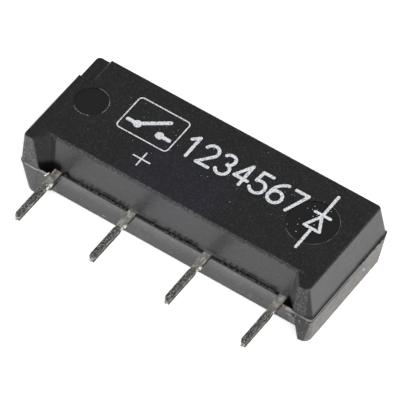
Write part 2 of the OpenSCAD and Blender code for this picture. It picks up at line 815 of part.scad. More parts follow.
// Solder between the diode's leads and their pads
module solder_joints() {
    spread = solder_spread;
    color([0.78, 0.78, 0.76])
        for (side = [-1, 1])
            translate([side > 0 ? diode_bend_x : -diode_span / 2 - spread,
                       seat_y + arm_mid_y - diode_lead_w / 2 - spread, part_z])
                cube([diode_span / 2 + spread - diode_bend_x, diode_lead_w + 2 * spread, solder_t]);
}

moulded_body();
pin_1();
pin_3();
pin_5();
pin_7();
reed_glass();
reed_blade_left();
reed_blade_right();
bobbin();
coil_winding();
diode_case();
diode_cathode_lead();
diode_anode_lead();
solder_joints();
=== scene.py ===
# %% [markdown]
# # A reed relay lying on its back
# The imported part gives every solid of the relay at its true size: the black moulded body, four sheet metal
# leads and the switch, coil and diode sealed inside. This lesson gives each of them a finish, and adds what
# moulding, dipping, punching and printing leave on the outside. Lengths are worked out in millimetres and
# put into the mesh in metres.

# %% Load the part
import bpy
import numpy as np
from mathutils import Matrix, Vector


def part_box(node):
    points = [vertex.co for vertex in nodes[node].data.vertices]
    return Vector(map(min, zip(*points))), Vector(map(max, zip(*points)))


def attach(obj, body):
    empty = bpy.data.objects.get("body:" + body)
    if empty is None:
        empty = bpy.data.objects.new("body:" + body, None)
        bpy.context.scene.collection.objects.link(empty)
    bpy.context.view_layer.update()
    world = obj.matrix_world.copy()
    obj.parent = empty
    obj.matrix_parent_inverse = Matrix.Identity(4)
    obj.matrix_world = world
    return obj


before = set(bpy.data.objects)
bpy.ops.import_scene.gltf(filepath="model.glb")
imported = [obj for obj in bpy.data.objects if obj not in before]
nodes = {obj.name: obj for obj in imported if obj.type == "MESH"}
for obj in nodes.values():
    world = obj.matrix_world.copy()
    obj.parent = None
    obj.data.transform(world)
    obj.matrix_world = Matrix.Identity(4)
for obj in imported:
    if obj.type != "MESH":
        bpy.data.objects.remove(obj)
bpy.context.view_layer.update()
scene = bpy.context.scene
MM = 0.001

# %% [markdown]
# ## Where things are
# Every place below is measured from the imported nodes, so the looks follow the part if its sizes change. The
# parting line is where the two halves of the mould met. It is level with the top of the leads, which the
# mould closed on. The lower half stands out by a small step at the ends and the back, because the mould's
# halves never meet exactly.

# %% Measure the body and the leads
body_low, body_high = [np.array(corner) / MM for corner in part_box("moulded_body")]
lead_names = ["pin_1", "pin_3", "pin_5", "pin_7"]
lead_box = {name: [np.array(corner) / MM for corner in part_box(name)] for name in lead_names}
STEP = 0.04
body_left, body_right = body_low[0] + STEP, body_high[0] - STEP
feet_y, back_y, face_z = body_low[1], body_high[1] - STEP, body_high[2]
tip_y = lead_box["pin_3"][0][1]
parting_z = lead_box["pin_3"][1][2]
lead_under_z = lead_box["pin_3"][0][2]
lead_mid_z = (parting_z + lead_under_z) / 2
PITCH = 5.08
body_long, body_wide = body_right - body_left, back_y - feet_y
lead_x = {name: (i - 1.5) * PITCH for i, name in enumerate(lead_names)}
print("body from x", round(body_left, 3), "to", round(body_right, 3), "feet at y", round(feet_y, 3))
print("back at y", round(back_y, 3), "parting line at z", round(parting_z, 3), "tips at y", round(tip_y, 3))


def from_end(x, y):
    """A place seen from above, in mm from the first lead's end of the body and from the feet's fronts."""
    return np.array([x + body_left, y + feet_y])


def path(*places):
    """A line through places that are given as from_end takes them."""
    return [from_end(*place) for place in places]

# %% [markdown]
# ## A mesh from a grid
# A surface in this lesson is a function of two parameters, worked out for a whole grid of them at once. It
# could be modelled by hand from a subdivided bar instead, but then no size could be changed afterwards.
# Four neighbours in the grid make one face. The volume that the faces enclose tells whether they point
# outwards, and a closed skin that points inwards is turned over.

# %% Grid to mesh
def enclosed(points, quads):
    """Signed volume inside quads: a sixth of the triple product of each triangle's corners, summed."""
    a, b, c, d = (points[quads[:, i]] for i in range(4))
    return float(np.sum(np.cross(a, b) * c) + np.sum(np.cross(a, c) * d)) / 6


def closed_quads(rows, columns):
    """Faces between neighbouring rows, each row a ring whose last point joins its first."""
    index = np.arange(rows * columns).reshape(rows, columns)
    after = np.roll(index, -1, axis=1)
    return np.stack([index[:-1], after[:-1], after[1:], index[1:]], axis=-1).reshape(-1, 4)


print("a tube of 3 rings of 8 points has", len(closed_quads(3, 8)), "faces")

# %% [markdown]
# ## One piece from several skins
# A piece such as the row of numbers has many separate strokes, each a closed skin of its own. They go into
# one mesh, because on the real relay they are one print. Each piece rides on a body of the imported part, so
# that it stays in its place when the reeds move.

# %% Skins to a piece
def add_skin(name, grids, material, body="housing", smooth=True):
    """One piece from grids of rings in millimetres, [ring, point, 3] each, with a fan closing each end."""
    points, faces, start = [], [], 0
    for grid in grids:
        rows, columns = grid.shape[:2]
        both = np.concatenate([grid.reshape(-1, 3), np.stack([grid[0].mean(0), grid[-1].mean(0)])])
        quads = closed_quads(rows, columns)
        first = np.arange(columns)
        last = first + (rows - 1) * columns
        fan_a = np.stack([np.full(columns, rows * columns), np.roll(first, -1), first, first], axis=1)
        after = np.roll(last, -1)
        fan_b = np.stack([np.full(columns, rows * columns + 1), last, after, after], axis=1)
        if enclosed(both, np.concatenate([quads, fan_a, fan_b])) < 0:
            quads, fan_a, fan_b = quads[:, ::-1], fan_a[:, [0, 2, 1, 1]], fan_b[:, [0, 2, 1, 1]]
        points.append(both)
        faces += (quads + start).tolist() + (fan_a[:, :3] + start).tolist() + (fan_b[:, :3] + start).tolist()
        start += len(both)
    mesh = bpy.data.meshes.new(name)
    mesh.from_pydata((np.concatenate(points) * MM).tolist(), [], faces)
    mesh.polygons.foreach_set("use_smooth", np.full(len(mesh.polygons), smooth))
    mesh.materials.append(material)
    mesh.update()
    piece = bpy.data.objects.new(name, mesh)
    scene.collection.objects.link(piece)
    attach(piece, body)
    print(name, len(mesh.polygons), "faces")
    return piece


print("new pieces go into", scene.name)

# %% [markdown]
# ## Unevenness that comes out the same each time
# Nothing on a moulded or dipped part is quite even. Random numbers from a fixed seed, joined by smooth
# curves, give edges that wander, and the same seed gives the same edge in each render.

# %% Wavy line
def wander(s, seed, step, rough=1.0):
    """A seeded wavy line over s: random heights from -1 to 1 every step, joined by half cosines."""
    knots = np.random.default_rng(seed).uniform(-1, 1, int(np.ptp(s) / step) + 4)
    at = (s - s.min()) / step
    low = at.astype(int)
    part = (1 - np.cos(np.pi * (at - low))) / 2
    return rough * (knots[low] * (1 - part) + knots[low + 1] * part)


print("sample", np.round(wander(np.linspace(0, 1, 5), 1, 0.3), 3))

# %% [markdown]
# ## Greys as the eye sees them
# A shade read off a screen isn't a share of light: half way up the scale is only a fifth of the light. The
# shades here are given from 0 to 255, as a screen shows them, because they are easy to compare with a
# picture, and are turned into light for Blender. A tint leans a grey towards a colour.

# %% Greys
def linear(value):
    """Light that a display value from 0 to 255 stands for."""
    v = value / 255
    return v / 12.92 if v <= 0.04045 else ((v + 0.055) / 1.055) ** 2.4


def grey(value, tint=(1, 1, 1)):
    """A grey as light, leaned towards a tint, and opaque."""
    return tuple(linear(value) * t for t in tint) + (1,)


print("grey 128 is", round(linear(128), 3), "of the light")

# %% [markdown]
# ## Patterns in millimetres
# Each finish is procedural and reads Object coordinates, multiplied by a thousand so that pattern sizes can
# be given in millimetres. The helpers below add one noise, one ramp or one zone at a time, because a node
# tree written out socket by socket hides what it is for. A zone is a soft box, and does the work of a
# painted mask.

# %% Patterns
class Patterns:
    """A material whose nodes work out numbers from places in millimetres."""

    def __init__(self, name):
        self.material = bpy.data.materials.new(name)
        self.material.use_nodes = True
        self.tree = self.material.node_tree
        place = self.tree.nodes.new("ShaderNodeTexCoord")
        scale = self.tree.nodes.new("ShaderNodeVectorMath")
        scale.operation = "SCALE"
        scale.inputs["Scale"].default_value = 1 / MM
        self.tree.links.new(place.outputs["Object"], scale.inputs[0])
        self.place = scale.outputs["Vector"]
        split = self.tree.nodes.new("ShaderNodeSeparateXYZ")
        self.tree.links.new(self.place, split.inputs["Vector"])
        self.axes = split.outputs

    def noise(self, size, detail=3.0, rough=0.6, stretch=(1, 1, 1), offset=(0, 0, 0)):
        """Noise whose lumps are about size mm, from 0 to 1. stretch makes them longer along an axis."""
        mapping = self.tree.nodes.new("ShaderNodeMapping")
        mapping.inputs["Scale"].default_value = tuple(1 / (size * s) for s in stretch)
        mapping.inputs["Location"].default_value = offset
        self.tree.links.new(self.place, mapping.inputs["Vector"])
        node = self.tree.nodes.new("ShaderNodeTexNoise")
        node.inputs["Scale"].default_value = 1.0
        node.inputs["Detail"].default_value = detail
        node.inputs["Roughness"].default_value = rough
        self.tree.links.new(mapping.outputs["Vector"], node.inputs["Vector"])
        return node.outputs["Fac"]

    def steps(self, source, low, high, to_low=0.0, to_high=1.0):
        """source taken from between low and high to between to_low and to_high, and held there past them."""
        node = self.tree.nodes.new("ShaderNodeMapRange")
        node.interpolation_type = "SMOOTHSTEP"
        for key, value in (("From Min", low), ("From Max", high), ("To Min", to_low), ("To Max", to_high)):
            node.inputs[key].default_value = value
        self.tree.links.new(source, node.inputs["Value"])
        return node.outputs["Result"]

    def maths(self, operation, result, *others):
        """One operation carried through several values, from the first to the last."""
        for other in others:
            node = self.tree.nodes.new("ShaderNodeMath")
            node.operation = operation
            for socket, value in zip(node.inputs, (result, other)):
                if isinstance(value, (int, float)):
                    socket.default_value = value
                else:
                    self.tree.links.new(value, socket)
            result = node.outputs["Value"]
        return result

    def times(self, *shares):
        """The product of several shares."""
        return self.maths("MULTIPLY", *shares)

    def zone(self, soft, **limits):
        """1 inside limits in mm such as X=(1, 2), falling to 0 over soft mm past them."""
        sides = []
        for name, (low, high) in limits.items():
            sides.append(self.steps(self.axes[name], low - soft, low))
            sides.append(self.steps(self.axes[name], high, high + soft, 1, 0))
        return self.times(*sides)

    def away(self, point):
        """Distance in millimetres from a point."""
        node = self.tree.nodes.new("ShaderNodeVectorMath")
        node.operation = "DISTANCE"
        self.tree.links.new(self.place, node.inputs[0])
        node.inputs[1].default_value = point
        return node.outputs["Value"]


print("patterns:", ", ".join(name for name in dir(Patterns) if name[0] != "_"))

# %% [markdown]
# ## Colour, gloss and relief
# A finish lays colours over each other as a painter does, from what covers the whole piece to the smallest
# mark. Each new colour has a share, which is a pattern or a zone. Bumps add up in the same way. A finish
# keeps the last colour and the last bump, so that the next call knows what it lies on. A Mix node has a set
# of sockets for each kind of value, and the three numbers are where it keeps those for colours.

# %% Finishes
MIX_UNDER, MIX_OVER, MIX_RESULT = 6, 7, 2


class Finish(Patterns):
    """A material made up one layer at a time."""

    def __init__(self, name, colour, roughness, metallic=0.0, ior=1.5):
        super().__init__(name)
        self.shader = self.tree.nodes["Principled BSDF"]
        self.shader.inputs["Base Color"].default_value = colour
        self.shader.inputs["Roughness"].default_value = roughness
        self.shader.inputs["Metallic"].default_value = metallic
        self.shader.inputs["IOR"].default_value = ior
        self.top = colour
        self.bump_out = None

    def feed(self, socket, source):
        """Let source set one of the shader's sockets."""
        self.tree.links.new(source, self.shader.inputs[socket])

    def layer(self, share, colour):
        """One more colour over those before it, where share is 1."""
        node = self.tree.nodes.new("ShaderNodeMix")
        node.data_type = "RGBA"
        self.tree.links.new(share, node.inputs["Factor"])
        if isinstance(self.top, tuple):
            node.inputs[MIX_UNDER].default_value = self.top
        else:
            self.tree.links.new(self.top, node.inputs[MIX_UNDER])
        node.inputs[MIX_OVER].default_value = colour
        self.top = node.outputs[MIX_RESULT]
        self.feed("Base Color", self.top)

    def two_tone(self, pattern, low, high, dark, pale):
        """The first two colours: dark where pattern is under low, pale where it is over high."""
        self.top = dark
        self.layer(self.steps(pattern, low, high), pale)

    def bump(self, source, height):
        """Relief of source, height mm high, over any bump added before."""
        node = self.tree.nodes.new("ShaderNodeBump")
        node.inputs["Strength"].default_value = 1.0
        node.inputs["Distance"].default_value = height * MM
        self.tree.links.new(source, node.inputs["Height"])
        if self.bump_out:
            self.tree.links.new(self.bump_out, node.inputs["Normal"])
        self.bump_out = node.outputs["Normal"]
        self.feed("Normal", self.bump_out)


def paint(material, *names):
    """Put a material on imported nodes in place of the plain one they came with."""
    for name in names:
        nodes[name].data.materials.clear()
        nodes[name].data.materials.append(material)
    print(material.name, "on", ", ".join(names))


def count_nodes(finish):
    """Print how many nodes a finish has taken."""
    print(finish.material.name, "has", len(finish.tree.nodes), "nodes")


print("ways to add to a finish:", ", ".join(name for name in dir(Finish) if name[0] != "_"))

# %% [markdown]
# ## The black resin
# The body is filled epoxy, transfer moulded in a spark-eroded mould. The mould leaves a fine matt grain,
# and the filler makes the resin nearly black and a little uneven, with pale specks as fine as salt and a
# faint purple bloom in the middle of the printed face. The finish is built in layers here: first the colour
# and grain that the whole body has, then zones given in millimetres for places that differ. A picture would
# repeat and blur at this scale.

# %% Resin all over
resin = Finish("Black filled resin", grey(20), 0.4, ior=1.55)
cloud = resin.noise(1.8, detail=2)
grain = resin.noise(0.09, detail=3, rough=0.6)
resin.two_tone(cloud, 0.35, 0.7, grey(5, (1, 1, 1.03)), grey(9, (1, 0.98, 1.12)))
bloom = resin.zone(2.5, X=(body_left + 7.5, body_left + 11), Y=(feet_y + 1.2, feet_y + 2.8),
                   Z=(face_z - 0.1, face_z + 1))
resin.layer(resin.times(bloom, resin.steps(cloud, 0.3, 0.6, 0.6, 1)), grey(14, (0.95, 0.8, 2.1)))
salt = resin.noise(0.085, detail=3, rough=0.8)
resin.layer(resin.steps(salt, 0.55, 0.64), grey(46))
resin.bump(resin.noise(0.6, detail=2), 0.013)
resin.bump(grain, 0.014)
count_nodes(resin)

# %% [markdown]
# ## Coarser resin on the feet
# The front of each foot was pressed against a coarser wall of the mould, so it looks speckled and lighter
# above the parting line. The foot by the last lead is streaked from top to bottom below it. Two noises, one
# round and one stretched along Z, are shown only within a box round each foot. A painted mask would do too,
# but it would have to be painted again whenever a size changes.

# %% Feet
FOOT_W = 1.25
foot_front = (feet_y - 1, feet_y + 0.04)
left_foot = resin.zone(0.1, X=(body_left - 1, body_left + FOOT_W), Y=foot_front)
right_foot = resin.zone(0.1, X=(body_right - FOOT_W, body_right - 0.2), Y=foot_front)
feet = resin.maths("ADD", left_foot, right_foot)
above = resin.steps(resin.axes["Z"], parting_z - 0.02, parting_z + 0.02)
below = resin.steps(resin.axes["Z"], parting_z - 0.02, parting_z + 0.02, 1, 0)
coarse = resin.noise(0.1, detail=3, rough=0.8)
streak = resin.noise(0.12, detail=4, rough=0.7, stretch=(1, 1, 4))
resin.layer(resin.times(left_foot, above, resin.steps(coarse, 0.47, 0.58)), grey(84))
resin.layer(resin.times(right_foot, above, resin.steps(coarse, 0.49, 0.62)), grey(84))
resin.layer(resin.times(right_foot, below, resin.steps(streak, 0.5, 0.7)), grey(88))
resin.bump(resin.times(feet, above, coarse), 0.08)
resin.bump(resin.times(right_foot, below, streak), 0.03)
print("speckled feet", FOOT_W, "mm wide, up to y", round(foot_front[1], 3))

# %% [markdown]
# ## Deep corners and webs
# A thin web of resin joins each foot to the lead beside it. Behind the web the corner is so deep and narrow
# that hardly any light comes back out of it. Real bounces can't show that in a short render, so these
# hollows are painted near black, and a later cell takes their gloss away. The last web's front is pale where
# the knife trimmed it, with a dotted line of crumbs at its foot.

# %% Corners and webs
behind_web = resin.steps(resin.axes["Z"], parting_z - 0.03, parting_z)
first_corner = resin.zone(0.55, X=(body_left + 1.3, body_left + 2.25), Y=(feet_y + 0.2, feet_y + 1.0),
                          Z=(parting_z - 0.02, parting_z + 0.3))
behind_foot = resin.steps(resin.axes["Y"], feet_y + 0.05, feet_y + 0.12)
first_corner = resin.times(first_corner, behind_foot, behind_web)
first_side = resin.zone(0.1, X=(body_left + 0.95, body_left + 1.9), Y=(feet_y + 0.1, feet_y + 0.95),
                        Z=(parting_z, face_z))
last_corner = resin.zone(0.25, X=(body_right - 1.8, body_right - 1.25), Y=(feet_y + 0.1, feet_y + 0.62),
                         Z=(parting_z - 0.02, parting_z + 0.1))
hollows = resin.maths("ADD", first_corner, resin.times(last_corner, behind_web))
web_x = (body_right - 2.05, body_right - 1.3)
web = resin.zone(0.03, X=web_x, Y=(feet_y + 0.02, feet_y + 0.08), Z=(parting_z - 0.27, parting_z - 0.04))
web_foot_z = (parting_z - 0.6, parting_z - 0.55)
web_foot = resin.zone(0.02, X=(web_x[0], web_x[1] + 0.05), Y=(feet_y - 0.1, feet_y + 0.1), Z=web_foot_z)
resin.layer(web, grey(98, (0.95, 1, 1)))
dotted = resin.steps(resin.noise(0.12, detail=1), 0.5, 0.6)
resin.layer(resin.times(web_foot, dotted), grey(170))
resin.layer(hollows, grey(2))
print("the last web's foot is", round(web_foot_z[0], 3), "mm above the back")

# %% [markdown]
# ## The end beside the last lead
# Below the parting line this end is brownish and rough, as the resin was broken off its runner here and
# rubbed. A stretched noise mottles the brown, with one browner patch and one white chip. A box round the
# end keeps it off the other faces, and moves with them if the body's length changes.

# %% Rough end
end_x = (body_right - 0.45, body_right + 1)
under = resin.zone(0.05, X=end_x, Y=(feet_y + 0.12, back_y + 1), Z=(-1, parting_z - 0.01))
rub = resin.noise(0.3, detail=4, stretch=(1, 1.8, 1))
resin.layer(resin.times(under, resin.steps(rub, 0.3, 0.7, 0.3, 1)), grey(74, (1.1, 1.0, 0.86)))
brown = resin.zone(0.1, X=end_x, Y=(feet_y + 5.5, feet_y + 6.6), Z=(parting_z - 0.3, parting_z - 0.04))
resin.layer(resin.times(brown, resin.steps(rub, 0.4, 0.6)), grey(96, (1.35, 0.95, 0.75)))
chip_place = (body_right - 0.1, feet_y + 5.4, 1.45)
resin.layer(resin.steps(resin.away(chip_place), 0.05, 0.09, 1, 0), grey(225))
print("chip at", np.round(chip_place, 2))

# %% [markdown]
# ## Strip and groove
# A narrow pale strip runs under the parting line of that end, and a fine dark groove parts it from the rough
# face. Both could be cut into the mesh, but they are only a tenth of a millimetre wide, so a band of colour
# with a bump under it is enough, and the groove's near black is painted shade. Just above the parting line
# the end is painted darker, as shade. So is the foot's outer edge, where its corner is a little rounded and
# turns away from the light.

# %% Strip and groove
strip_y = (feet_y + 0.05, feet_y + 4.3)
strip = resin.zone(0.02, X=end_x, Y=strip_y, Z=(parting_z - 0.17, parting_z - 0.02))
groove_z = (parting_z - 0.33, parting_z - 0.24)
groove = resin.zone(0.02, X=end_x, Y=strip_y, Z=groove_z)
resin.layer(strip, grey(134, (1.05, 1.0, 0.92)))
# The groove's near black band is painted shade.
uneven_groove = resin.times(groove, resin.steps(rub, 0.2, 0.5, 0.6, 1))
resin.layer(uneven_groove, grey(2))
resin.bump(resin.maths("SUBTRACT", 1.0, groove), 0.02)
resin.bump(resin.times(under, resin.noise(0.09, detail=4, rough=0.7)), 0.014)
# Painted shade above the parting line and on the foot's rounded outer edge.
seam_shade = resin.zone(0.3, X=(body_right - 0.3, body_right + 1), Z=(parting_z, parting_z + 0.1))
foot_edge_shade = resin.zone(0.2, X=(body_right - 0.22, body_right + 1), Y=(feet_y - 1, feet_y + 0.12),
                       Z=(parting_z + 0.15, face_z - 0.1))
resin.layer(resin.maths("MAXIMUM", seam_shade, foot_edge_shade), grey(2))
print("groove from z", round(groove_z[0], 3), "to", round(groove_z[1], 3))

# %% [markdown]
# ## Smooth marks
# The two round marks are the ends of ejector pins, polished by the mould. They are smoother and darker than
# the grain round them, because less of the room's light is scattered to the eye. Distance from a point
# draws each one exactly round, with a soft edge of a fiftieth of a millimetre.

# %% Marks
SMALL_MARK, LARGE_MARK = 1.0, 1.5
mark_low, mark_high = from_end(2.0, 4.14), from_end(16.95, 4.14)
discs = []
for place, radius in ((mark_low, SMALL_MARK), (mark_high, LARGE_MARK)):
    discs.append(resin.steps(resin.away((*place, face_z - 0.05)), radius - 0.02, radius, 1, 0))
marks = resin.maths("ADD", *discs)
resin.layer(marks, grey(2))
print("marks at", np.round(mark_low, 2), "and", np.round(mark_high, 2))

# %% [markdown]
# ## Worn edges and the ledge
# The upper front edge is painted a little lighter in fine specks, and the lower front has a few fine nicks.
# Between the two halves of the front runs a narrow ledge. The foot of the wall behind it is painted a little
# lighter, a painted sheen, and its lip is duller, so that the crumbs laid there later read as one dark line.
# Each is a zone with or without a noise.

# %% Edges
front_x = (body_left + 1.2, body_right - 1.2)
rim = resin.zone(0.03, X=front_x, Y=(feet_y + 0.84, feet_y + 1.02), Z=(face_z - 0.16, face_z + 1))
resin.layer(resin.times(rim, resin.steps(resin.noise(0.1, detail=3, rough=0.8), 0.5, 0.62)), grey(62))
lower_front = resin.zone(0.1, X=(body_left + 2, body_right - 2), Y=(feet_y, feet_y + 1.0),
                         Z=(-1, parting_z - 0.15))
nicks = resin.steps(resin.noise(0.13, detail=2, rough=0.5, stretch=(1.6, 1, 1), offset=(3, 1, 2)), 0.67, 0.73)
resin.layer(resin.times(lower_front, nicks), grey(128))
# Painted sheen at the foot of the wall behind the ledge.
wall_foot_sheen = resin.zone(0.05, X=(body_left + 3.1, body_right - 2.3), Y=(feet_y + 0.5, feet_y + 0.8),
                       Z=(parting_z + 0.05, parting_z + 0.2))
resin.layer(wall_foot_sheen, grey(52))
ledge_lip = resin.zone(0.03, X=front_x, Y=(feet_y + 0.3, feet_y + 0.5),
                       Z=(parting_z - 0.05, parting_z + 0.02))
print("edges from x", round(front_x[0], 3), "to", round(front_x[1], 3))

# %% [markdown]
# ## Where the resin is glossy
# The resin mirrors the room softly, and how softly differs from place to place: the ejector marks are
# smoother, and the feet, the groove and the seam are duller. The darkest places and the inner side of the
# first foot also get a share of near black metal, which takes away what gloss is left: this is painted shade.
# One picture of roughness would do the same, but the zones are there already, and the largest of several
# shares is a simple way to join them.

# %% Gloss
patchy = resin.maths("ADD", resin.times(cloud, 0.5), resin.times(grain, 0.5))
even = resin.maths("SUBTRACT", resin.steps(patchy, 0.3, 0.7, 0.27, 0.35), resin.times(marks, 0.1))
dull = resin.maths("MAXIMUM", hollows, first_side, foot_edge_shade, resin.times(right_foot, 0.9),
                   resin.times(left_foot, above, coarse), uneven_groove, resin.times(ledge_lip, 0.7),
                   resin.times(seam_shade, 0.45))
downward = resin.steps(resin.axes["Z"], parting_z - 1.4, parting_z - 0.15, 0.17, 0.0)
rougher = resin.maths("ADD", resin.times(under, 0.12), resin.times(dull, 0.55),
                      resin.times(lower_front, downward))
resin.feed("Roughness", resin.maths("ADD", even, rougher))
# Painted shade: near black metal in the hollows, the groove, by the seam and on the first foot's inner side.
unlit = resin.maths("MAXIMUM", hollows, resin.times(uneven_groove, 0.8), resin.times(seam_shade, 0.25),
                    resin.times(first_side, 0.3))
resin.feed("Metallic", resin.times(unlit, 0.9))
paint(resin.material, "moulded_body")

# %% [markdown]
# ## Lead metal
# The leads are punched from a sheet of nickel silver. Near the body the metal is bare, dull and lightly
# scratched along the lead. A noise stretched along Y stains it, and a finer one gives the rolled sheet's
# scratches. The right side of each lead, sheared by the punch, is brownish and painted dark as shade, paler
# towards its lower edge, and the narrow neck is mottled where the tin crept up to it. Zones in millimetres
# pick those places out.

# %% Bare lead metal
lead_metal = Finish("Bare lead metal", grey(190, (1, 0.98, 0.92)), 0.4, metallic=1.0)
stain = lead_metal.noise(0.16, detail=4, stretch=(1, 2.2, 1))
lead_metal.two_tone(stain, 0.38, 0.66, grey(180, (1, 0.97, 0.88)), grey(234, (1, 0.98, 0.91)))
neck = lead_metal.steps(lead_metal.axes["Y"], feet_y - 0.7, feet_y - 0.1, 1, 0)
fine = lead_metal.noise(0.09, detail=4, rough=0.7)
lead_metal.layer(lead_metal.times(neck, lead_metal.steps(fine, 0.42, 0.6)), grey(128, (1, 0.97, 0.86)))
SHADED_RIGHT_SIDE = (0.235, 0.3)
# Painted shade on each lead's right side, darkest near its top and paler below.
for x in lead_x.values():
    side_x = (x + SHADED_RIGHT_SIDE[0], x + SHADED_RIGHT_SIDE[1])
    for top_z, colour in ((parting_z - 0.02, grey(52, (1.15, 1, 0.88))), (parting_z - 0.13, grey(104))):
        lead_metal.layer(lead_metal.zone(0.01, X=side_x, Z=(lead_under_z - 0.01, top_z)), colour)
lead_metal.feed("Roughness", lead_metal.steps(stain, 0.3, 0.7, 0.44, 0.6))
lead_metal.bump(lead_metal.noise(0.05, detail=2, stretch=(1, 6, 1)), 0.003)
paint(lead_metal.material, *lead_names)

# %% [markdown]
# ## What the resin hides
# The switch, the coil and the diode can't be seen from outside, but they are part of the model, so each
# gets the finish it has on the real thing: green glass, pressed nickel-iron, natural bobbin plastic and
# solder. They differ only in colour, gloss and the size of their grain, so one function makes them all.

# %% Hidden pieces
def plain(name, colour, roughness, grain_size, grain_height, metallic=0.0, stretch=(1, 1, 1), **sockets):
    """A finish of one colour with a little mottling and a fine relief."""
    finish = Finish(name, colour, roughness, metallic)
    pattern = finish.noise(grain_size, detail=3, stretch=stretch)
    darker = tuple(0.75 * c for c in colour[:3]) + (1,)
    finish.two_tone(pattern, 0.3, 0.7, darker, colour)
    finish.feed("Roughness", finish.steps(pattern, 0.3, 0.7, 0.8 * roughness, 1.2 * roughness))
    finish.bump(pattern, grain_height)
    for key, value in sockets.items():
        finish.shader.inputs[key.replace("_", " ")].default_value = value
    return finish


glass = plain("Capsule glass", (0.62, 0.8, 0.68, 1), 0.05, 0.8, 0.001, Transmission_Weight=0.9)
paint(glass.material, "reed_glass")
reed = plain("Pressed nickel-iron", grey(170), 0.32, 0.08, 0.002, metallic=1.0, stretch=(6, 1, 1))
paint(reed.material, "reed_blade_left", "reed_blade_right")
paint(plain("Bobbin plastic", grey(205, (1, 0.95, 0.82)), 0.45, 0.2, 0.003).material, "bobbin")
solder = plain("Solder", grey(185), 0.3, 0.1, 0.004, metallic=1.0)
paint(solder.material, "solder_joints", "diode_cathode_lead", "diode_anode_lead")

# %% [markdown]
# ## Turns and band
# The winding is thousands of turns of enamelled copper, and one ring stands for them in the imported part. A
# thousand real turns would be a heavy mesh that nobody sees, so a fine wave along the coil draws them as a
# bump. The diode's case is black, with a pale band at its cathode.

# %% Turns and band
TURN = 0.09
copper = plain("Enamelled copper", (0.5, 0.16, 0.05, 1), 0.28, 0.3, 0.002, metallic=0.6, Coat_Weight=0.6)
# A sine takes one value, so the 0 only fills the second socket.
turn = copper.maths("SINE", copper.maths("MULTIPLY", copper.axes["X"], 2 * np.pi / TURN), 0.0)
copper.bump(copper.steps(turn, -1, 1), 0.03)
paint(copper.material, "coil_winding")
diode_low = np.array(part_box("diode_case")[0]) / MM
diode_finish = plain("Diode resin", grey(34), 0.4, 0.08, 0.003)
diode_finish.layer(diode_finish.zone(0.01, X=(diode_low[0] + 0.12, diode_low[0] + 0.45)), grey(190))
paint(diode_finish.material, "diode_case")

# %% [markdown]
# ## Dipped tin
# The free end of each lead was dipped in molten tin, which set with a dull skin, mottled dark and pale, with
# bright flecks. It is paler again by the neck, and painted darker on the lead's sides as shade. Two noises of
# different size give the mottling and the flecks, and both press into the skin as a bump.

# %% Tin
dip = Finish("Dipped tin", grey(150, (1, 0.99, 0.93)), 0.45, metallic=1.0)
mottle = dip.noise(0.12, detail=4, rough=0.7, stretch=(1, 1.3, 1))
fleck = dip.noise(0.08, detail=2, rough=0.6)
dip.two_tone(mottle, 0.44, 0.58, grey(82, (1, 0.99, 0.9)), grey(150, (1, 0.99, 0.92)))
dip.layer(dip.steps(fleck, 0.6, 0.66), grey(252))
near_neck = dip.steps(dip.axes["Y"], feet_y - 1.1, feet_y - 0.66)
dip.layer(dip.times(near_neck, dip.steps(fleck, 0.4, 0.55)), grey(176, (1, 0.98, 0.9)))
# Painted shade on the sides of each coat, darker and browner on the right side.
for x in lead_x.values():
    dip.layer(dip.zone(0.03, X=(x + 0.19, x + 0.3)), grey(58, (1.12, 1, 0.86)))
    dip.layer(dip.zone(0.02, X=(x - 0.3, x - 0.205)), grey(96))
dip.feed("Roughness", dip.steps(mottle, 0.35, 0.65, 0.6, 0.34))
dip.bump(mottle, 0.014)
dip.bump(fleck, 0.006)
count_nodes(dip)

# %% [markdown]
# ## The coat's shape
# The tin drew up to the neck and rounded every edge, and the punch left one side of the tip rounded. A
# displaced copy of the lead would tear at its sharp corners. The coat here is a ring of points, a squared
# circle, carried along the lead, whose width and thickness change on the way.

# %% Tin coats
LEAD_HALF_W, NECK_HALF_W, LEAD_HALF_T = 0.22, 0.165, 0.125
TIP_ROUND, FILM = 0.34, 0.012


def squared_ring(centre, half_w, half_t, power, count=40):
    """Points round a squared circle: cosine and sine to the power 2/power, times the half sizes."""
    turn = np.linspace(0, 2 * np.pi, count, endpoint=False)
    c, s = np.cos(turn), np.sin(turn)
    x = np.sign(c) * np.abs(c) ** (2 / power) * half_w[:, None]
    z = np.sign(s) * np.abs(s) ** (2 / power) * half_t[:, None]
    along = np.broadcast_to(centre[1][:, None], x.shape)
    return np.stack([centre[0][:, None] + x, along, centre[2][:, None] + z], axis=-1)


def tin_coat(name, x, seed):
    """Rings from the neck to the tip, as wide as the lead, rounded in on one side at the tip."""
    y = np.linspace(feet_y - 0.62, tip_y - FILM, 130)
    s = y[0] - y
    film = np.interp(s, [0, 0.05, 0.25], [-0.02, 0.004, FILM])
    half_w = np.interp(feet_y - y, [0.6, 1.0], [NECK_HALF_W, LEAD_HALF_W])
    half_w = half_w + film + wander(s, seed, 0.14, 0.007)
    half_t = LEAD_HALF_T + film + wander(s, seed + 1, 0.2, 0.008)
    near = np.clip((tip_y - FILM + TIP_ROUND - y) / TIP_ROUND, 0, 1)
    left_in = 0.32 * (1 - np.sqrt(1 - near ** 2 * 0.98))
    centre_x = x + left_in / 2 + wander(s, seed + 2, 0.5, 0.004)
    half_t = half_t * (1 - 0.2 * near ** 4)
    centre_z = lead_mid_z + wander(s, seed + 3, 0.4, 0.004)
    grid = squared_ring((centre_x, y, centre_z), half_w - left_in / 2, half_t, 4.5)
    return add_skin(name, [grid], dip.material)


for i, name in enumerate(lead_names):
    tin_coat(name.replace("pin", "tin_coat"), lead_x[name], 10 * i)

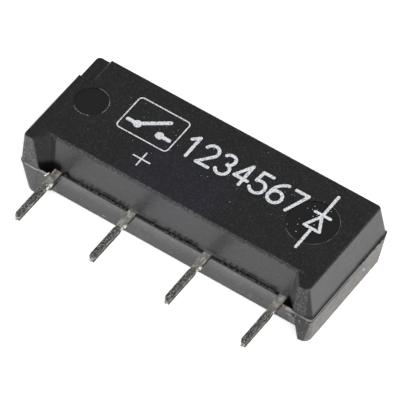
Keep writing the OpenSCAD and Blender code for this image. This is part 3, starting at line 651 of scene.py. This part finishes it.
# %% [markdown]
# ## Bright sheared metal
# Two cuts leave bare metal on each lead: the tie bar, trimmed off beside the shoulder, which curls a thin
# burr, and the last cut at the tip. Each is a strip bent round part of a circle and tapered, so that it
# catches the light as a small bright curl. The burrs are duller than the cut at the tip, because a mirror
# that small would turn into white dots. The last lead was cut with less burr than the others.

# %% Burrs and tips
bright = Finish("Sheared bright metal", grey(210, (1, 0.96, 0.94)), 0.4, metallic=0.35)
scratch = bright.noise(0.06, detail=4, rough=0.7)
bright.two_tone(scratch, 0.42, 0.6, grey(120, (1, 0.93, 0.88)), grey(238, (1, 0.98, 0.97)))
bright.bump(scratch, 0.02)
curled = plain("Curled burr", grey(192, (1, 0.96, 0.88)), 0.5, 0.06, 0.012, metallic=0.25)


def curl(centre, radius, start_deg, end_deg, width, thick, seed, count=22):
    """A strip along an arc in x and z, carried along y: thickest in the middle, ragged in width."""
    turn = np.radians(np.linspace(start_deg, end_deg, count))
    part = np.linspace(0, 1, count)
    half = thick / 2 * (0.35 + 0.65 * np.sin(np.pi * part))
    wide = width / 2 * (0.75 + 0.25 * np.sin(np.pi * part)) * (1 + wander(part, seed, 0.15, 0.25))
    out = np.stack([np.cos(turn), np.zeros(count), np.sin(turn)], axis=-1)
    along = np.array([0.0, 1.0, 0.0])
    middle = np.array(centre) + radius * out
    corners = [(1, -1), (1, 1), (-1, 1), (-1, -1)]
    rails = [middle + a * half[:, None] * out + b * wide[:, None] * along for a, b in corners]
    return np.stack(rails, axis=1)


burr_size = {"pin_1": 1.4, "pin_3": 1.35, "pin_5": 1.3, "pin_7": 0.3}
for i, name in enumerate(lead_names):
    x, size = lead_x[name], burr_size[name]
    root = (x + 0.23, feet_y - 0.47, parting_z - 0.04)
    burr = curl(root, 0.06 * size, -140, 160, 0.17 * size, 0.03, 40 + i)
    tail = curl((x + 0.19, feet_y - 0.66, parting_z - 0.06), 0.04 * size, -90, 120, 0.28 * size, 0.03, 45 + i)
    nick = curl((x - 0.19, feet_y - 0.5, parting_z - 0.04), 0.02, 90, 190, 0.2 * size, 0.012, 50 + i)
    tip = curl((x + 0.01, tip_y - FILM, lead_mid_z + 0.02), 0.15, 195, 335, 0.06, 0.055, 60 + i)
    add_skin(name.replace("pin", "curled_burr"), [burr, tail, nick], curled.material)
    add_skin(name.replace("pin", "cut_tip"), [tip], bright.material)

# %% [markdown]
# ## Flash
# Where the halves of the mould met, a little resin crept out and set as a thin ragged fin. It is so thin
# that it looks brown and grey rather than black, and more so in some places than in others. A large soft
# noise dapples it. The same pale finish is laid on the rims of the ejector marks, as a painted highlight.

# %% Thin flash and rim highlight
flash_and_rim_highlight = Finish("Thin flash and rim highlight", grey(120, (1, 0.98, 0.93)), 0.5)
flash_and_rim_highlight.bump(flash_and_rim_highlight.noise(0.08, detail=4), 0.01)
dapple = flash_and_rim_highlight.noise(0.6, detail=3, rough=0.5)
flash_and_rim_highlight.two_tone(dapple, 0.4, 0.6, grey(62, (1, 0.98, 0.94)), grey(122, (1, 0.96, 0.89)))
flash_and_rim_highlight.feed("Roughness", flash_and_rim_highlight.steps(dapple, 0.3, 0.7, 0.4, 0.65))
count_nodes(flash_and_rim_highlight)

# %% [markdown]
# ## A fin along a line
# The fin is a wedge carried along a line, and a wavy line says how far it stands out at each place. Cutting
# it from a flat sheet would leave its edge as thick as its root, and the real one is sharp.

# %% Wedge along a line
def along_path(corners, step=0.03):
    """Points every step along a line, and the outward way at each: the line's own way, turned a quarter."""
    corners = np.array(corners, float)
    lengths = np.r_[0, np.cumsum(np.linalg.norm(np.diff(corners, axis=0), axis=1))]
    s = np.linspace(0, lengths[-1], max(4, int(lengths[-1] / step)))
    point = np.stack([np.interp(s, lengths, corners[:, i]) for i in range(2)], axis=1)
    ahead = np.gradient(point, axis=0)
    ahead /= np.linalg.norm(ahead, axis=1)[:, None]
    return s, point, np.stack([ahead[:, 1], -ahead[:, 0]], axis=1)


def fin(corners, reach, ragged, seed, z=parting_z, root=0.03, droop=0.0):
    """A wedge carried along a path: root thick inside the resin, and a sharp edge reach out from it."""
    s, point, out = along_path(corners)
    stand = np.clip(reach + wander(s, seed, 0.1, ragged) + wander(s, seed + 1, 0.6, reach / 3), 0.004, None)
    stand = stand * np.clip(np.minimum(s, s[-1] - s) / 0.15, 0.05, 1)
    level = z + wander(s, seed + 2, 0.35, 0.006)
    section = [(0, root / 2), (1, 0.004), (1, -0.004), (0, -root / 2)]
    inner = [np.column_stack([point - 0.05 * out, level + up]) for up in (-root / 2, root / 2)]
    outer = []
    for far, up in section:
        outer.append(np.column_stack([point + out * (far * stand)[:, None], level + up - far * droop]))
    return np.stack(inner + outer, axis=1)


print("a line 1 mm long gets", len(along_path([(0, 0), (1, 0)])[0]), "points")

# %% [markdown]
# ## Fins round the parting line
# The fin follows the parting line round the feet, the ends and the back. On the feet it is too thin to look
# black, and at the ends and the back it is thicker and dark. A knife has left it longest on the feet and
# beyond the gate. Along the end by the last lead, up to the gate, a low dark fin above the parting line is
# painted shade: it stands for the dark line of shade at the seam. Six lines seen from above give its whole
# way, so each stretch has its own reach.

# %% Fins
dark_flash = plain("Dark flash", grey(26, (1.05, 1, 0.95)), 0.75, 0.15, 0.02)
left_front = path((0.03, 0.06), (0.2, 0.0), (1.15, 0.0), (1.3, 0.05), (1.97, 0.05))
right_front = path((body_long - 1.95, 0.05), (body_long - 1.3, 0.05), (body_long - 1.15, 0.0),
                   (body_long - 0.1, 0.0), (body_long - 0.01, 0.07))
overhang = path((body_long, 4.6), (body_long, body_wide - 0.2))
seam = path((body_long - 0.08, 0.02), (body_long, 0.12), (body_long, 4.7))
back_right = path((body_long, body_wide - 0.25), (body_long - 0.02, body_wide - 0.05),
                  (body_long - 0.2, body_wide), (9.0, body_wide))
back_left = path((9.0, body_wide), (0.15, body_wide), (0.0, body_wide - 0.15), (0.0, 0.1))
feet_fins = [fin(left_front, reach=0.065, ragged=0.004, seed=70, droop=0.03),
             fin(right_front, reach=0.075, ragged=0.006, seed=80, droop=0.03)]
# The fin along the seam stands for the seam's dark line of shade: painted shade.
end_fins = [fin(overhang, reach=0.07, ragged=0.05, seed=84),
            fin(seam, reach=0.025, ragged=0.006, seed=85, z=parting_z + 0.03, root=0.04),
            fin(back_right, reach=0.05, ragged=0.03, seed=82),
            fin(back_left, reach=0.03, ragged=0.015, seed=72)]
add_skin("foot_flash", feet_fins, flash_and_rim_highlight.material)
add_skin("end_flash_and_seam_shade", end_fins, dark_flash.material, smooth=False)

# %% [markdown]
# ## Broken gate
# The resin flowed in through a gate at the end, and its runner was snapped off, which left a shallow rough
# scar. The scar is a mound of rings that shrink towards its middle. Uneven heights and flat shading give it
# a broken face.

# %% Gate scar
END_DRAFT = 0.116


def mound(middle_y, middle_z, half_y, half_z, height, seed, rings=7, count=26):
    """Rings of an oval on the end face, each smaller and further out, with random heights."""
    turn = np.linspace(0, 2 * np.pi, count, endpoint=False)
    share = np.linspace(0, 1, rings)[:, None]
    random = np.random.default_rng(seed)
    size = (1 - 0.92 * share) * (1 + 0.16 * random.uniform(-1, 1, (rings, count)))
    y = middle_y + half_y * size * np.cos(turn)
    z = middle_z + half_z * size * np.sin(turn)
    face = body_right + STEP - END_DRAFT * (parting_z - z)
    rise = height * np.sin(np.pi / 2 * share) * random.uniform(0.5, 1.2, (rings, count))
    x = face + np.where(share == 0, -0.05, rise)
    return np.stack([x, y, z], axis=-1)


broken = Finish("Broken resin", grey(88, (1.1, 1.0, 0.88)), 0.6)
crumb = broken.noise(0.07, detail=4, rough=0.75)
broken.two_tone(crumb, 0.4, 0.62, grey(42, (1.1, 1, 0.9)), grey(120, (1.12, 1.0, 0.86)))
broken.feed("Roughness", broken.steps(crumb, 0.3, 0.7, 0.5, 0.8))
broken.bump(crumb, 0.03)
scars = [mound(feet_y + 4.1, parting_z - 0.33, 0.52, 0.22, 0.035, 5),
         mound(feet_y + 5.9, parting_z - 0.14, 0.3, 0.09, 0.03, 6)]
add_skin("gate_scar", scars, broken.material, smooth=False)

# %% [markdown]
# ## Ridges and grains
# Two small shapes come back in several places: a bead along a line, and a loose grain. The bead is
# a half round section carried along the line, and its height wanders, so it fades in and out. A grain is a
# ring of seven points with a smaller ring above it, because there are hundreds and each is hardly a pixel.

# %% Ridges and grains
def ridge(points, width, height, seed, base_z):
    """A half round bead along a line of points, its foot a little under the face and its height wandering."""
    s, point, out = along_path(points, 0.02)
    turn = np.linspace(0, np.pi, 6)
    uneven = np.clip(0.55 + wander(s, seed, 0.15, 0.45) + wander(s, seed + 1, 0.6, 0.25), 0.05, 1.2)
    uneven = uneven * np.clip(np.minimum(s, s[-1] - s) / 0.2, 0.05, 1)
    across = [(-width / 2, -0.02)]
    across += [(-width / 2 * np.cos(t), height * np.sin(t)) for t in turn]
    across += [(width / 2, -0.02)]
    rings = []
    for far, up in across:
        rings.append(np.column_stack([point + far * out, base_z + np.where(up < 0, up, up * uneven)]))
    return np.stack(rings, axis=1)


def circle(centre, radius, start_deg, end_deg, count=60):
    """Points along part of a circle seen from above."""
    turn = np.radians(np.linspace(start_deg, end_deg, count))
    return np.stack([centre[0] + radius * np.cos(turn), centre[1] + radius * np.sin(turn)], axis=1)


def grains(places, size, seed, base_z, tall=0.7):
    """Small lumps: a ring of seven points on the face and a smaller one above it, for each place."""
    random = np.random.default_rng(seed)
    turn = np.linspace(0, 2 * np.pi, 7, endpoint=False)
    lumps = []
    for place in places:
        radius = size * random.uniform(0.5, 1.0) * random.uniform(0.75, 1.25, 7)
        spot = np.array([place[0], place[1], base_z])
        round_it = np.stack([radius * np.cos(turn), radius * np.sin(turn), 0 * turn], axis=1)
        foot = spot + round_it - [0, 0, 0.01]
        top = spot + 0.6 * round_it + [0, 0, tall * size]
        lumps.append(np.stack([foot, top]))
    return lumps


print("a grain has", grains([(0, 0)], 0.1, 1, 0)[0].size // 3, "points")

# %% [markdown]
# ## Rims of the ejector marks
# Round each ejector mark lies a fine ridge, painted pale as a highlight where the mark's edge catches the
# light, plainest on the side away from the leads, with a few loose grains caught on it. A whole torus would
# look turned on a lathe, so each rim is a part of a circle, or two.

# %% Rims
# The pale ridges are a painted highlight round each mark.
small_far = circle(mark_low, SMALL_MARK + 0.02, -20, 100)
small_near = circle(mark_low, SMALL_MARK + 0.02, -130, -60)
large_rim = circle(mark_high, LARGE_MARK + 0.03, -130, 80)
rim_parts = [ridge(small_far, width=0.036, height=0.009, seed=21, base_z=face_z),
             ridge(small_near, width=0.02, height=0.004, seed=22, base_z=face_z),
             ridge(large_rim, width=0.02, height=0.004, seed=24, base_z=face_z)]
on_rims = np.concatenate([circle(mark_low, SMALL_MARK + 0.03, -112, -68, 2),
                          circle(mark_low, SMALL_MARK + 0.04, 20, 60, 2),
                          circle(mark_high, LARGE_MARK + 0.04, 60, 100, 2),
                          circle(mark_low, SMALL_MARK + 0.03, -90, -90, 1)])
rim_parts += grains(on_rims, 0.045, 26, face_z)
add_skin("ejector_rims", rim_parts, flash_and_rim_highlight.material, smooth=False)

# %% [markdown]
# ## Crumbs along the front seam
# Between the leads the upper half of the front stands a little further back than the lower half. Crumbs of
# resin were left on that narrow ledge, so its dark line is ragged. The same bead as round the marks, wider
# and more uneven, is laid along the ledge between each two leads, and loose lumps gather in one part of it.

# %% Crumbs
ledge_runs = [(2.65, 6.95), (7.75, 12.0), (12.8, 17.05)]
LEDGE_Y = 0.46
crumbs = []
for i, (start, end) in enumerate(ledge_runs):
    along_ledge = path((start, LEDGE_Y), (end, LEDGE_Y))
    crumbs.append(ridge(along_ledge, width=0.11, height=0.07, seed=90 + i, base_z=parting_z))
    loose_x = np.random.default_rng(95 + i).normal((start + 2 * end) / 3, 1.0, 26)
    loose = [from_end(x, LEDGE_Y + 0.04) for x in loose_x[(loose_x > start) & (loose_x < end)]]
    crumbs += grains(loose, 0.12, 98 + i, parting_z, tall=1.3)
add_skin("ledge_crumbs", crumbs, dark_flash.material, smooth=False)

# %% [markdown]
# ## Slivers at the outer leads
# Two bright places show where the mould pinched the sheet metal. Beside the last lead a sliver of bare
# copper alloy runs out over the web, with a stained one below it. At the inner end of the first foot's
# flash stand a glint and a warmer sliver. All four are small tapered blades: a flattened ring of points
# that shrinks towards each end.

# %% Slivers
def blade(start, end, width, thick, seed, count=18):
    """A flattened tapered bar from start to end: width across in the plane seen from above, thick in z."""
    start, end = np.array(start, float), np.array(end, float)
    part = np.linspace(0, 1, count)
    middle = start + (end - start) * part[:, None]
    ahead = (end - start) / np.linalg.norm(end - start)
    side = np.array([-ahead[1], ahead[0], 0.0])
    swell = np.sqrt(np.clip(1 - (2 * part - 1) ** 2, 0.02, 1)) * (1 + wander(part, seed, 0.2, 0.2))
    up = np.array([0.0, 0.0, 1.0])
    corners = [(-1, -0.4), (-0.6, 1), (0.6, 1), (1, -0.4)]
    rails = [middle + swell[:, None] * (a * width / 2 * side + b * thick / 2 * up) for a, b in corners]
    return np.stack(rails, axis=1)


last_x, first_x = lead_x["pin_7"], lead_x["pin_1"]
base_metal = Finish("Bare copper alloy", (0.72, 0.36, 0.22, 1), 0.35, metallic=0.75)
tarnish = base_metal.noise(0.06, detail=3)
base_metal.two_tone(tarnish, 0.35, 0.65, (0.5, 0.22, 0.13, 1), (0.95, 0.62, 0.45, 1))
base_metal.feed("Roughness", base_metal.steps(tarnish, 0.3, 0.7, 0.25, 0.5))
base_metal.bump(tarnish, 0.006)
brown_metal = plain("Stained alloy", (0.16, 0.08, 0.055, 1), 0.5, 0.06, 0.01, metallic=0.3)
# Root and tip are counted from the lead's middle, the front of the feet and the parting line.
slivers = {
    "copper_sliver": (base_metal, last_x, (0.25, 0.09, 0.01), (0.5, -0.05, 0.01), 0.05, 0.03, 31),
    "stained_sliver": (brown_metal, last_x, (0.27, 0.03, -0.1), (0.46, 0.02, -0.26), 0.12, 0.06, 32),
    "first_lead_glint": (bright, first_x, (-0.44, -0.15, -0.02), (-0.4, 0.04, 0.01), 0.12, 0.06, 33),
    "first_lead_sliver": (base_metal, first_x, (-0.4, 0.02, 0.01), (-0.33, 0.2, 0.02), 0.09, 0.05, 34),
}
for name, (finish, beside, root, tip, wide, thick, seed) in slivers.items():
    corner = np.array([beside, feet_y, parting_z])
    shape = blade(corner + root, corner + tip, wide, thick, seed)
    add_skin(name, [shape], finish.material, smooth=False)

# %% [markdown]
# ## White ink
# Relays carry white pad printing. The ink is thin and uneven, so the black shows through in fine specks, and
# it looks a little blue for the same reason. A fine noise between two greys gives that, and a low bump.

# %% Ink
ink = Finish("Pad printed ink", grey(158), 0.55)
thin_ink = ink.noise(0.11, detail=4, rough=0.7)
ink.two_tone(thin_ink, 0.36, 0.56, grey(128, (0.95, 1, 1.03)), grey(204, (0.97, 1, 1.05)))
ink.feed("Roughness", ink.steps(thin_ink, 0.3, 0.7, 0.5, 0.65))
ink.bump(thin_ink, 0.004)
count_nodes(ink)

# %% [markdown]
# ## Strokes
# A picture of the print would be flat and blurred, so each stroke is a thin slab with rounded ends carried
# along a line, as thick as the ink really is. Each stroke lies a hair higher than the one before it, so that
# faces never share a plane where two strokes cross.

# %% Strokes
INK_THICK, INK_LIFT = 0.006, 0.0004


def stroke(points, width, order):
    """A slab along a smooth line. Past each end its half width follows a circle, so that the end is round."""
    points = np.array(points, float)
    lengths = np.r_[0, np.cumsum(np.linalg.norm(np.diff(points, axis=0), axis=1))]
    total = lengths[-1]
    cap = width / 2 * np.cos(np.linspace(0, np.pi / 2, 6))
    s = np.r_[-cap, np.linspace(0, total, max(4, int(total / 0.05)))[1:-1], total + cap[::-1]]
    inside = np.clip(s, 0, total)

    def place(at):
        return np.stack([np.interp(np.clip(at, 0, total), lengths, points[:, i]) for i in range(2)], axis=1)

    ahead = place(inside + 0.01) - place(inside - 0.01)
    ahead /= np.linalg.norm(ahead, axis=1)[:, None]
    past = np.clip(np.abs(s - inside) / (width / 2), 0, 0.995)
    half = width / 2 * np.sqrt(1 - past ** 2) * (1 + wander(s, 7 + order, 0.06, 0.06))
    centre = place(inside) + ahead * (s - inside)[:, None]
    side = np.stack([-ahead[:, 1], ahead[:, 0]], axis=1) * half[:, None]
    low, high = face_z - INK_THICK, face_z + INK_THICK + INK_LIFT * order
    corners = [(side, low), (-side, low), (-side, high), (side, high)]
    return np.stack([np.column_stack([centre + out, np.full(len(s), z)]) for out, z in corners], axis=1)


def strokes_of(lines, width):
    """One stroke for each line, each in its own order."""
    return [stroke(line, width, order) for order, line in enumerate(lines)]


print("ink stands", INK_THICK, "mm over the face at z", round(face_z, 3))

# %% [markdown]
# ## Plus sign
# The coil has a diode across it, so it has to be joined the right way round, and the plus sign shows the
# lead for the positive side. It was printed finer than the other marks. One outline with twelve corners would
# do, but two strokes that cross have the rounded ends that the pad leaves.

# %% Plus sign
plus = [path((6.15, 2.37), (7.25, 2.37)), path((6.7, 1.87), (6.7, 2.87))]
PLUS_LINE = 0.09
add_skin("plus_sign", strokes_of(plus, PLUS_LINE), ink.material, smooth=False)

# %% [markdown]
# ## Switch symbol
# An open contact is drawn as every wiring diagram draws it: a wire, a dot, an arm that doesn't reach the
# second dot, and the other wire. A thin frame with rounded corners stands round it. The frame could be one
# shape with a hole, but as eight strokes it comes from the same function as the rest.

# %% Switch symbol
def framed(x0, y0, x1, y1, radius):
    """Four sides and four quarter circles of a frame with rounded corners."""
    sides = [[(x0 + radius, y0), (x1 - radius, y0)], [(x1, y0 + radius), (x1, y1 - radius)],
             [(x1 - radius, y1), (x0 + radius, y1)], [(x0, y1 - radius), (x0, y0 + radius)]]
    corners = [((x1 - radius, y0 + radius), -90), ((x1 - radius, y1 - radius), 0),
               ((x0 + radius, y1 - radius), 90), ((x0 + radius, y0 + radius), 180)]
    turns = [circle(middle, radius, start, start + 90, 10) for middle, start in corners]
    return [path(*line) for line in sides + turns]


FRAME_LINE, CONTACT_LINE, DOT_LINE = 0.075, 0.24, 0.5
switch_y = 4.3
wires = [path((4.4, switch_y), (5.0, switch_y)), path((6.6, switch_y), (7.2, switch_y)),
         path((5.1, switch_y + 0.05), (6.55, switch_y + 1.1))]
dots = [path((x - 0.015, switch_y), (x + 0.015, switch_y)) for x in (5.05, 6.55)]
switch_parts = strokes_of(framed(4.08, 3.53, 7.52, 6.02, 0.25), FRAME_LINE)
switch_parts += [stroke(line, CONTACT_LINE, 8 + i) for i, line in enumerate(wires)]
switch_parts += [stroke(dot, DOT_LINE, 11 + i) for i, dot in enumerate(dots)]
add_skin("switch_symbol", switch_parts, ink.material, smooth=False)

# %% [markdown]
# ## Numbers
# The row of leads is counted from one to seven on the standard grid, and every second place has a lead. A
# font would bring its own shapes, and its edges would be cleaner than pad printing leaves them. These digits
# are drawn with straight lines and parts of circles in a cell one unit high, then scaled.

# %% Digits
def bow(x, y, radius, start_deg, end_deg):
    """Part of a circle in a digit's cell."""
    return circle((x, y), radius, start_deg, end_deg, 22)


digits = {
    "1": [[(0.12, 0.78), (0.36, 1.0)], [(0.36, 1.0), (0.36, 0.0)]],
    "2": [bow(0.29, 0.72, 0.27, 165, -40), [(0.5, 0.55), (0.04, 0.0)], [(0.04, 0.0), (0.58, 0.0)]],
    "3": [bow(0.28, 0.75, 0.24, 150, -80), bow(0.28, 0.27, 0.27, 80, -155)],
    "4": [[(0.42, 0.0), (0.42, 1.0)], [(0.42, 1.0), (0.02, 0.3)], [(0.02, 0.3), (0.6, 0.3)]],
    "5": [[(0.54, 1.0), (0.12, 1.0)], [(0.12, 1.0), (0.08, 0.56)], bow(0.27, 0.31, 0.3, 128, -150)],
    "6": [bow(0.29, 0.29, 0.28, 0, 185), bow(0.29, 0.29, 0.28, 180, 365), bow(0.62, 0.42, 0.6, 105, 190)],
    "7": [[(0.02, 1.0), (0.56, 1.0)], [(0.56, 1.0), (0.18, 0.0)]],
}
DIGIT_TALL, DIGIT_STEP, DIGIT_LINE = 1.5, 1.16, 0.2
number_parts = []
for i, lines in enumerate(digits.values()):
    cell = from_end(8.0 + DIGIT_STEP * i, 3.98)
    number_parts += strokes_of([cell + DIGIT_TALL * np.array(line) for line in lines], DIGIT_LINE)
add_skin("row_numbers", number_parts, ink.material, smooth=False)

# %% [markdown]
# ## Diode symbol
# A diode lies across the coil. Its symbol is a triangle against a bar, between two wires, and it runs along
# the end over the large mark. The triangle could be one filled shape. Three strokes leave it open, as such
# a symbol is often drawn.

# %% Diode symbol
DIODE_LINE = 0.18
x, low, high = 17.15, 3.75, 4.75
outline = [[(x, 2.2), (x, low)], [(x - 0.5, low), (x + 0.5, low)], [(x + 0.5, low), (x, high)],
           [(x, high), (x - 0.5, low)], [(x - 0.5, high + 0.1), (x + 0.5, high + 0.1)],
           [(x, high + 0.1), (x, 6.4)]]
diode_lines = [path(*line) for line in outline]
diode_parts = strokes_of(diode_lines, DIODE_LINE)
add_skin("diode_symbol", diode_parts, ink.material, smooth=False)

# %% [markdown]
# ## Overspray
# The ink's pad threw tiny dots beside the print. A spotted pattern in the resin's finish would do, but they
# are ink, so they are low lumps of the same finish as the print, at seeded random places.

# %% Ink dots
DOTS = 80
random = np.random.default_rng(12)
dots_x = random.uniform(3.6, 17.9, DOTS)
dots_y = random.normal(4.6, 0.9, DOTS)
spray_places = [from_end(x, y) for x, y in zip(dots_x, np.clip(dots_y, 2.0, 6.8))]
spray = grains(spray_places, 0.026, 13, face_z, tall=0.2)
add_skin("ink_dots", spray, ink.material, smooth=False)

# %% [markdown]
# ## Floor
# The relay lies on a plain white sheet. The sheet glows a little by itself, as a sheet of opal glass lit from
# below does, which keeps the shadow under the leads as faint as in the photograph. It has no gloss, so the
# relay isn't mirrored in it, and it lies a hundredth of a millimetre under the part so that they don't touch.

# %% Floor
sheet = bpy.data.materials.new("White sheet")
sheet.use_nodes = True
paper = sheet.node_tree.nodes["Principled BSDF"]
paper.inputs["Base Color"].default_value = (0.85, 0.85, 0.85, 1)
paper.inputs["Roughness"].default_value = 0.9
paper.inputs["Specular IOR Level"].default_value = 0.0
FLOOR_GLOW = 0.36
paper.inputs["Emission Color"].default_value = (1, 1, 1, 1)
paper.inputs["Emission Strength"].default_value = FLOOR_GLOW
floor_mesh = bpy.data.meshes.new("floor")
half, under_part = 1.5, -0.00001
floor_mesh.from_pydata([(-half, -half, under_part), (half, -half, under_part), (half, half, under_part),
                        (-half, half, under_part)], [], [(0, 1, 2, 3)])
floor_mesh.materials.append(sheet)
floor = bpy.data.objects.new("floor", floor_mesh)
scene.collection.objects.link(floor)
print("floor", 2 * half, "m wide")

# %% [markdown]
# ## Room and panels
# In the photograph the sides are much lighter than the printed face, though all are the same resin: the
# sides mirror the bright sheet, and the face mirrors a dim part of the room. So the sheet is lit by broad
# panels at the sides and the front, and none hangs where the face would mirror it. The sheet is a little
# darker close to the relay, and that shading shows in the sides.

# %% Room and panels
world = bpy.data.worlds.new("Soft room")
world.use_nodes = True
walls = world.node_tree.nodes["Background"]
walls.inputs["Color"].default_value = (0.36, 0.36, 0.366, 1)
walls.inputs["Strength"].default_value = 1.0
scene.world = world
scene.view_settings.view_transform = "Standard"


def panel(name, toward, size, brightness, distance=0.5):
    """A square light that looks at the relay from a direction. brightness is how bright its face looks."""
    light = bpy.data.lights.new(name, "AREA")
    light.size = size
    light.energy = brightness * np.pi * size ** 2
    lamp = bpy.data.objects.new(name, light)
    scene.collection.objects.link(lamp)
    way = Vector(toward).normalized()
    lamp.location = way * distance
    lamp.rotation_mode = "QUATERNION"
    lamp.rotation_quaternion = way.to_track_quat("Z", "Y")
    spread = size ** 2 / distance ** 2 * way.z
    print(name, "adds about", round(brightness * spread / np.pi, 2), "to the sheet")


panel("front panel", toward=(-0.2, -0.85, 0.48), size=0.7, brightness=0.6)
panel("right panel", toward=(0.8, -0.35, 0.5), size=0.9, brightness=3.6, distance=0.6)
panel("left panel", toward=(-0.8, -0.45, 0.35), size=0.6, brightness=2.0, distance=0.6)

# %% [markdown]
# ## Camera
# The photograph was taken from far away with a long lens: edges that are parallel on the relay are nearly
# parallel in the picture. The place, the direction and the lens here were found by matching the leads and
# the body's corners.

# %% Camera
camera_data = bpy.data.cameras.new("camera")
camera_data.sensor_width = 36
camera_data.lens = 436.2
camera_data.clip_start, camera_data.clip_end = 0.02, 5
camera = bpy.data.objects.new("camera", camera_data)
scene.collection.objects.link(camera)
camera.location = (0.096543, -0.135884, 0.21346)
camera.rotation_mode = "QUATERNION"
camera.rotation_quaternion = Vector((-0.3582, 0.5094, -0.7825)).to_track_quat("-Z", "Y")
scene.camera = camera
print("camera", round(camera.location.length, 3), "m away")

# %% [markdown]
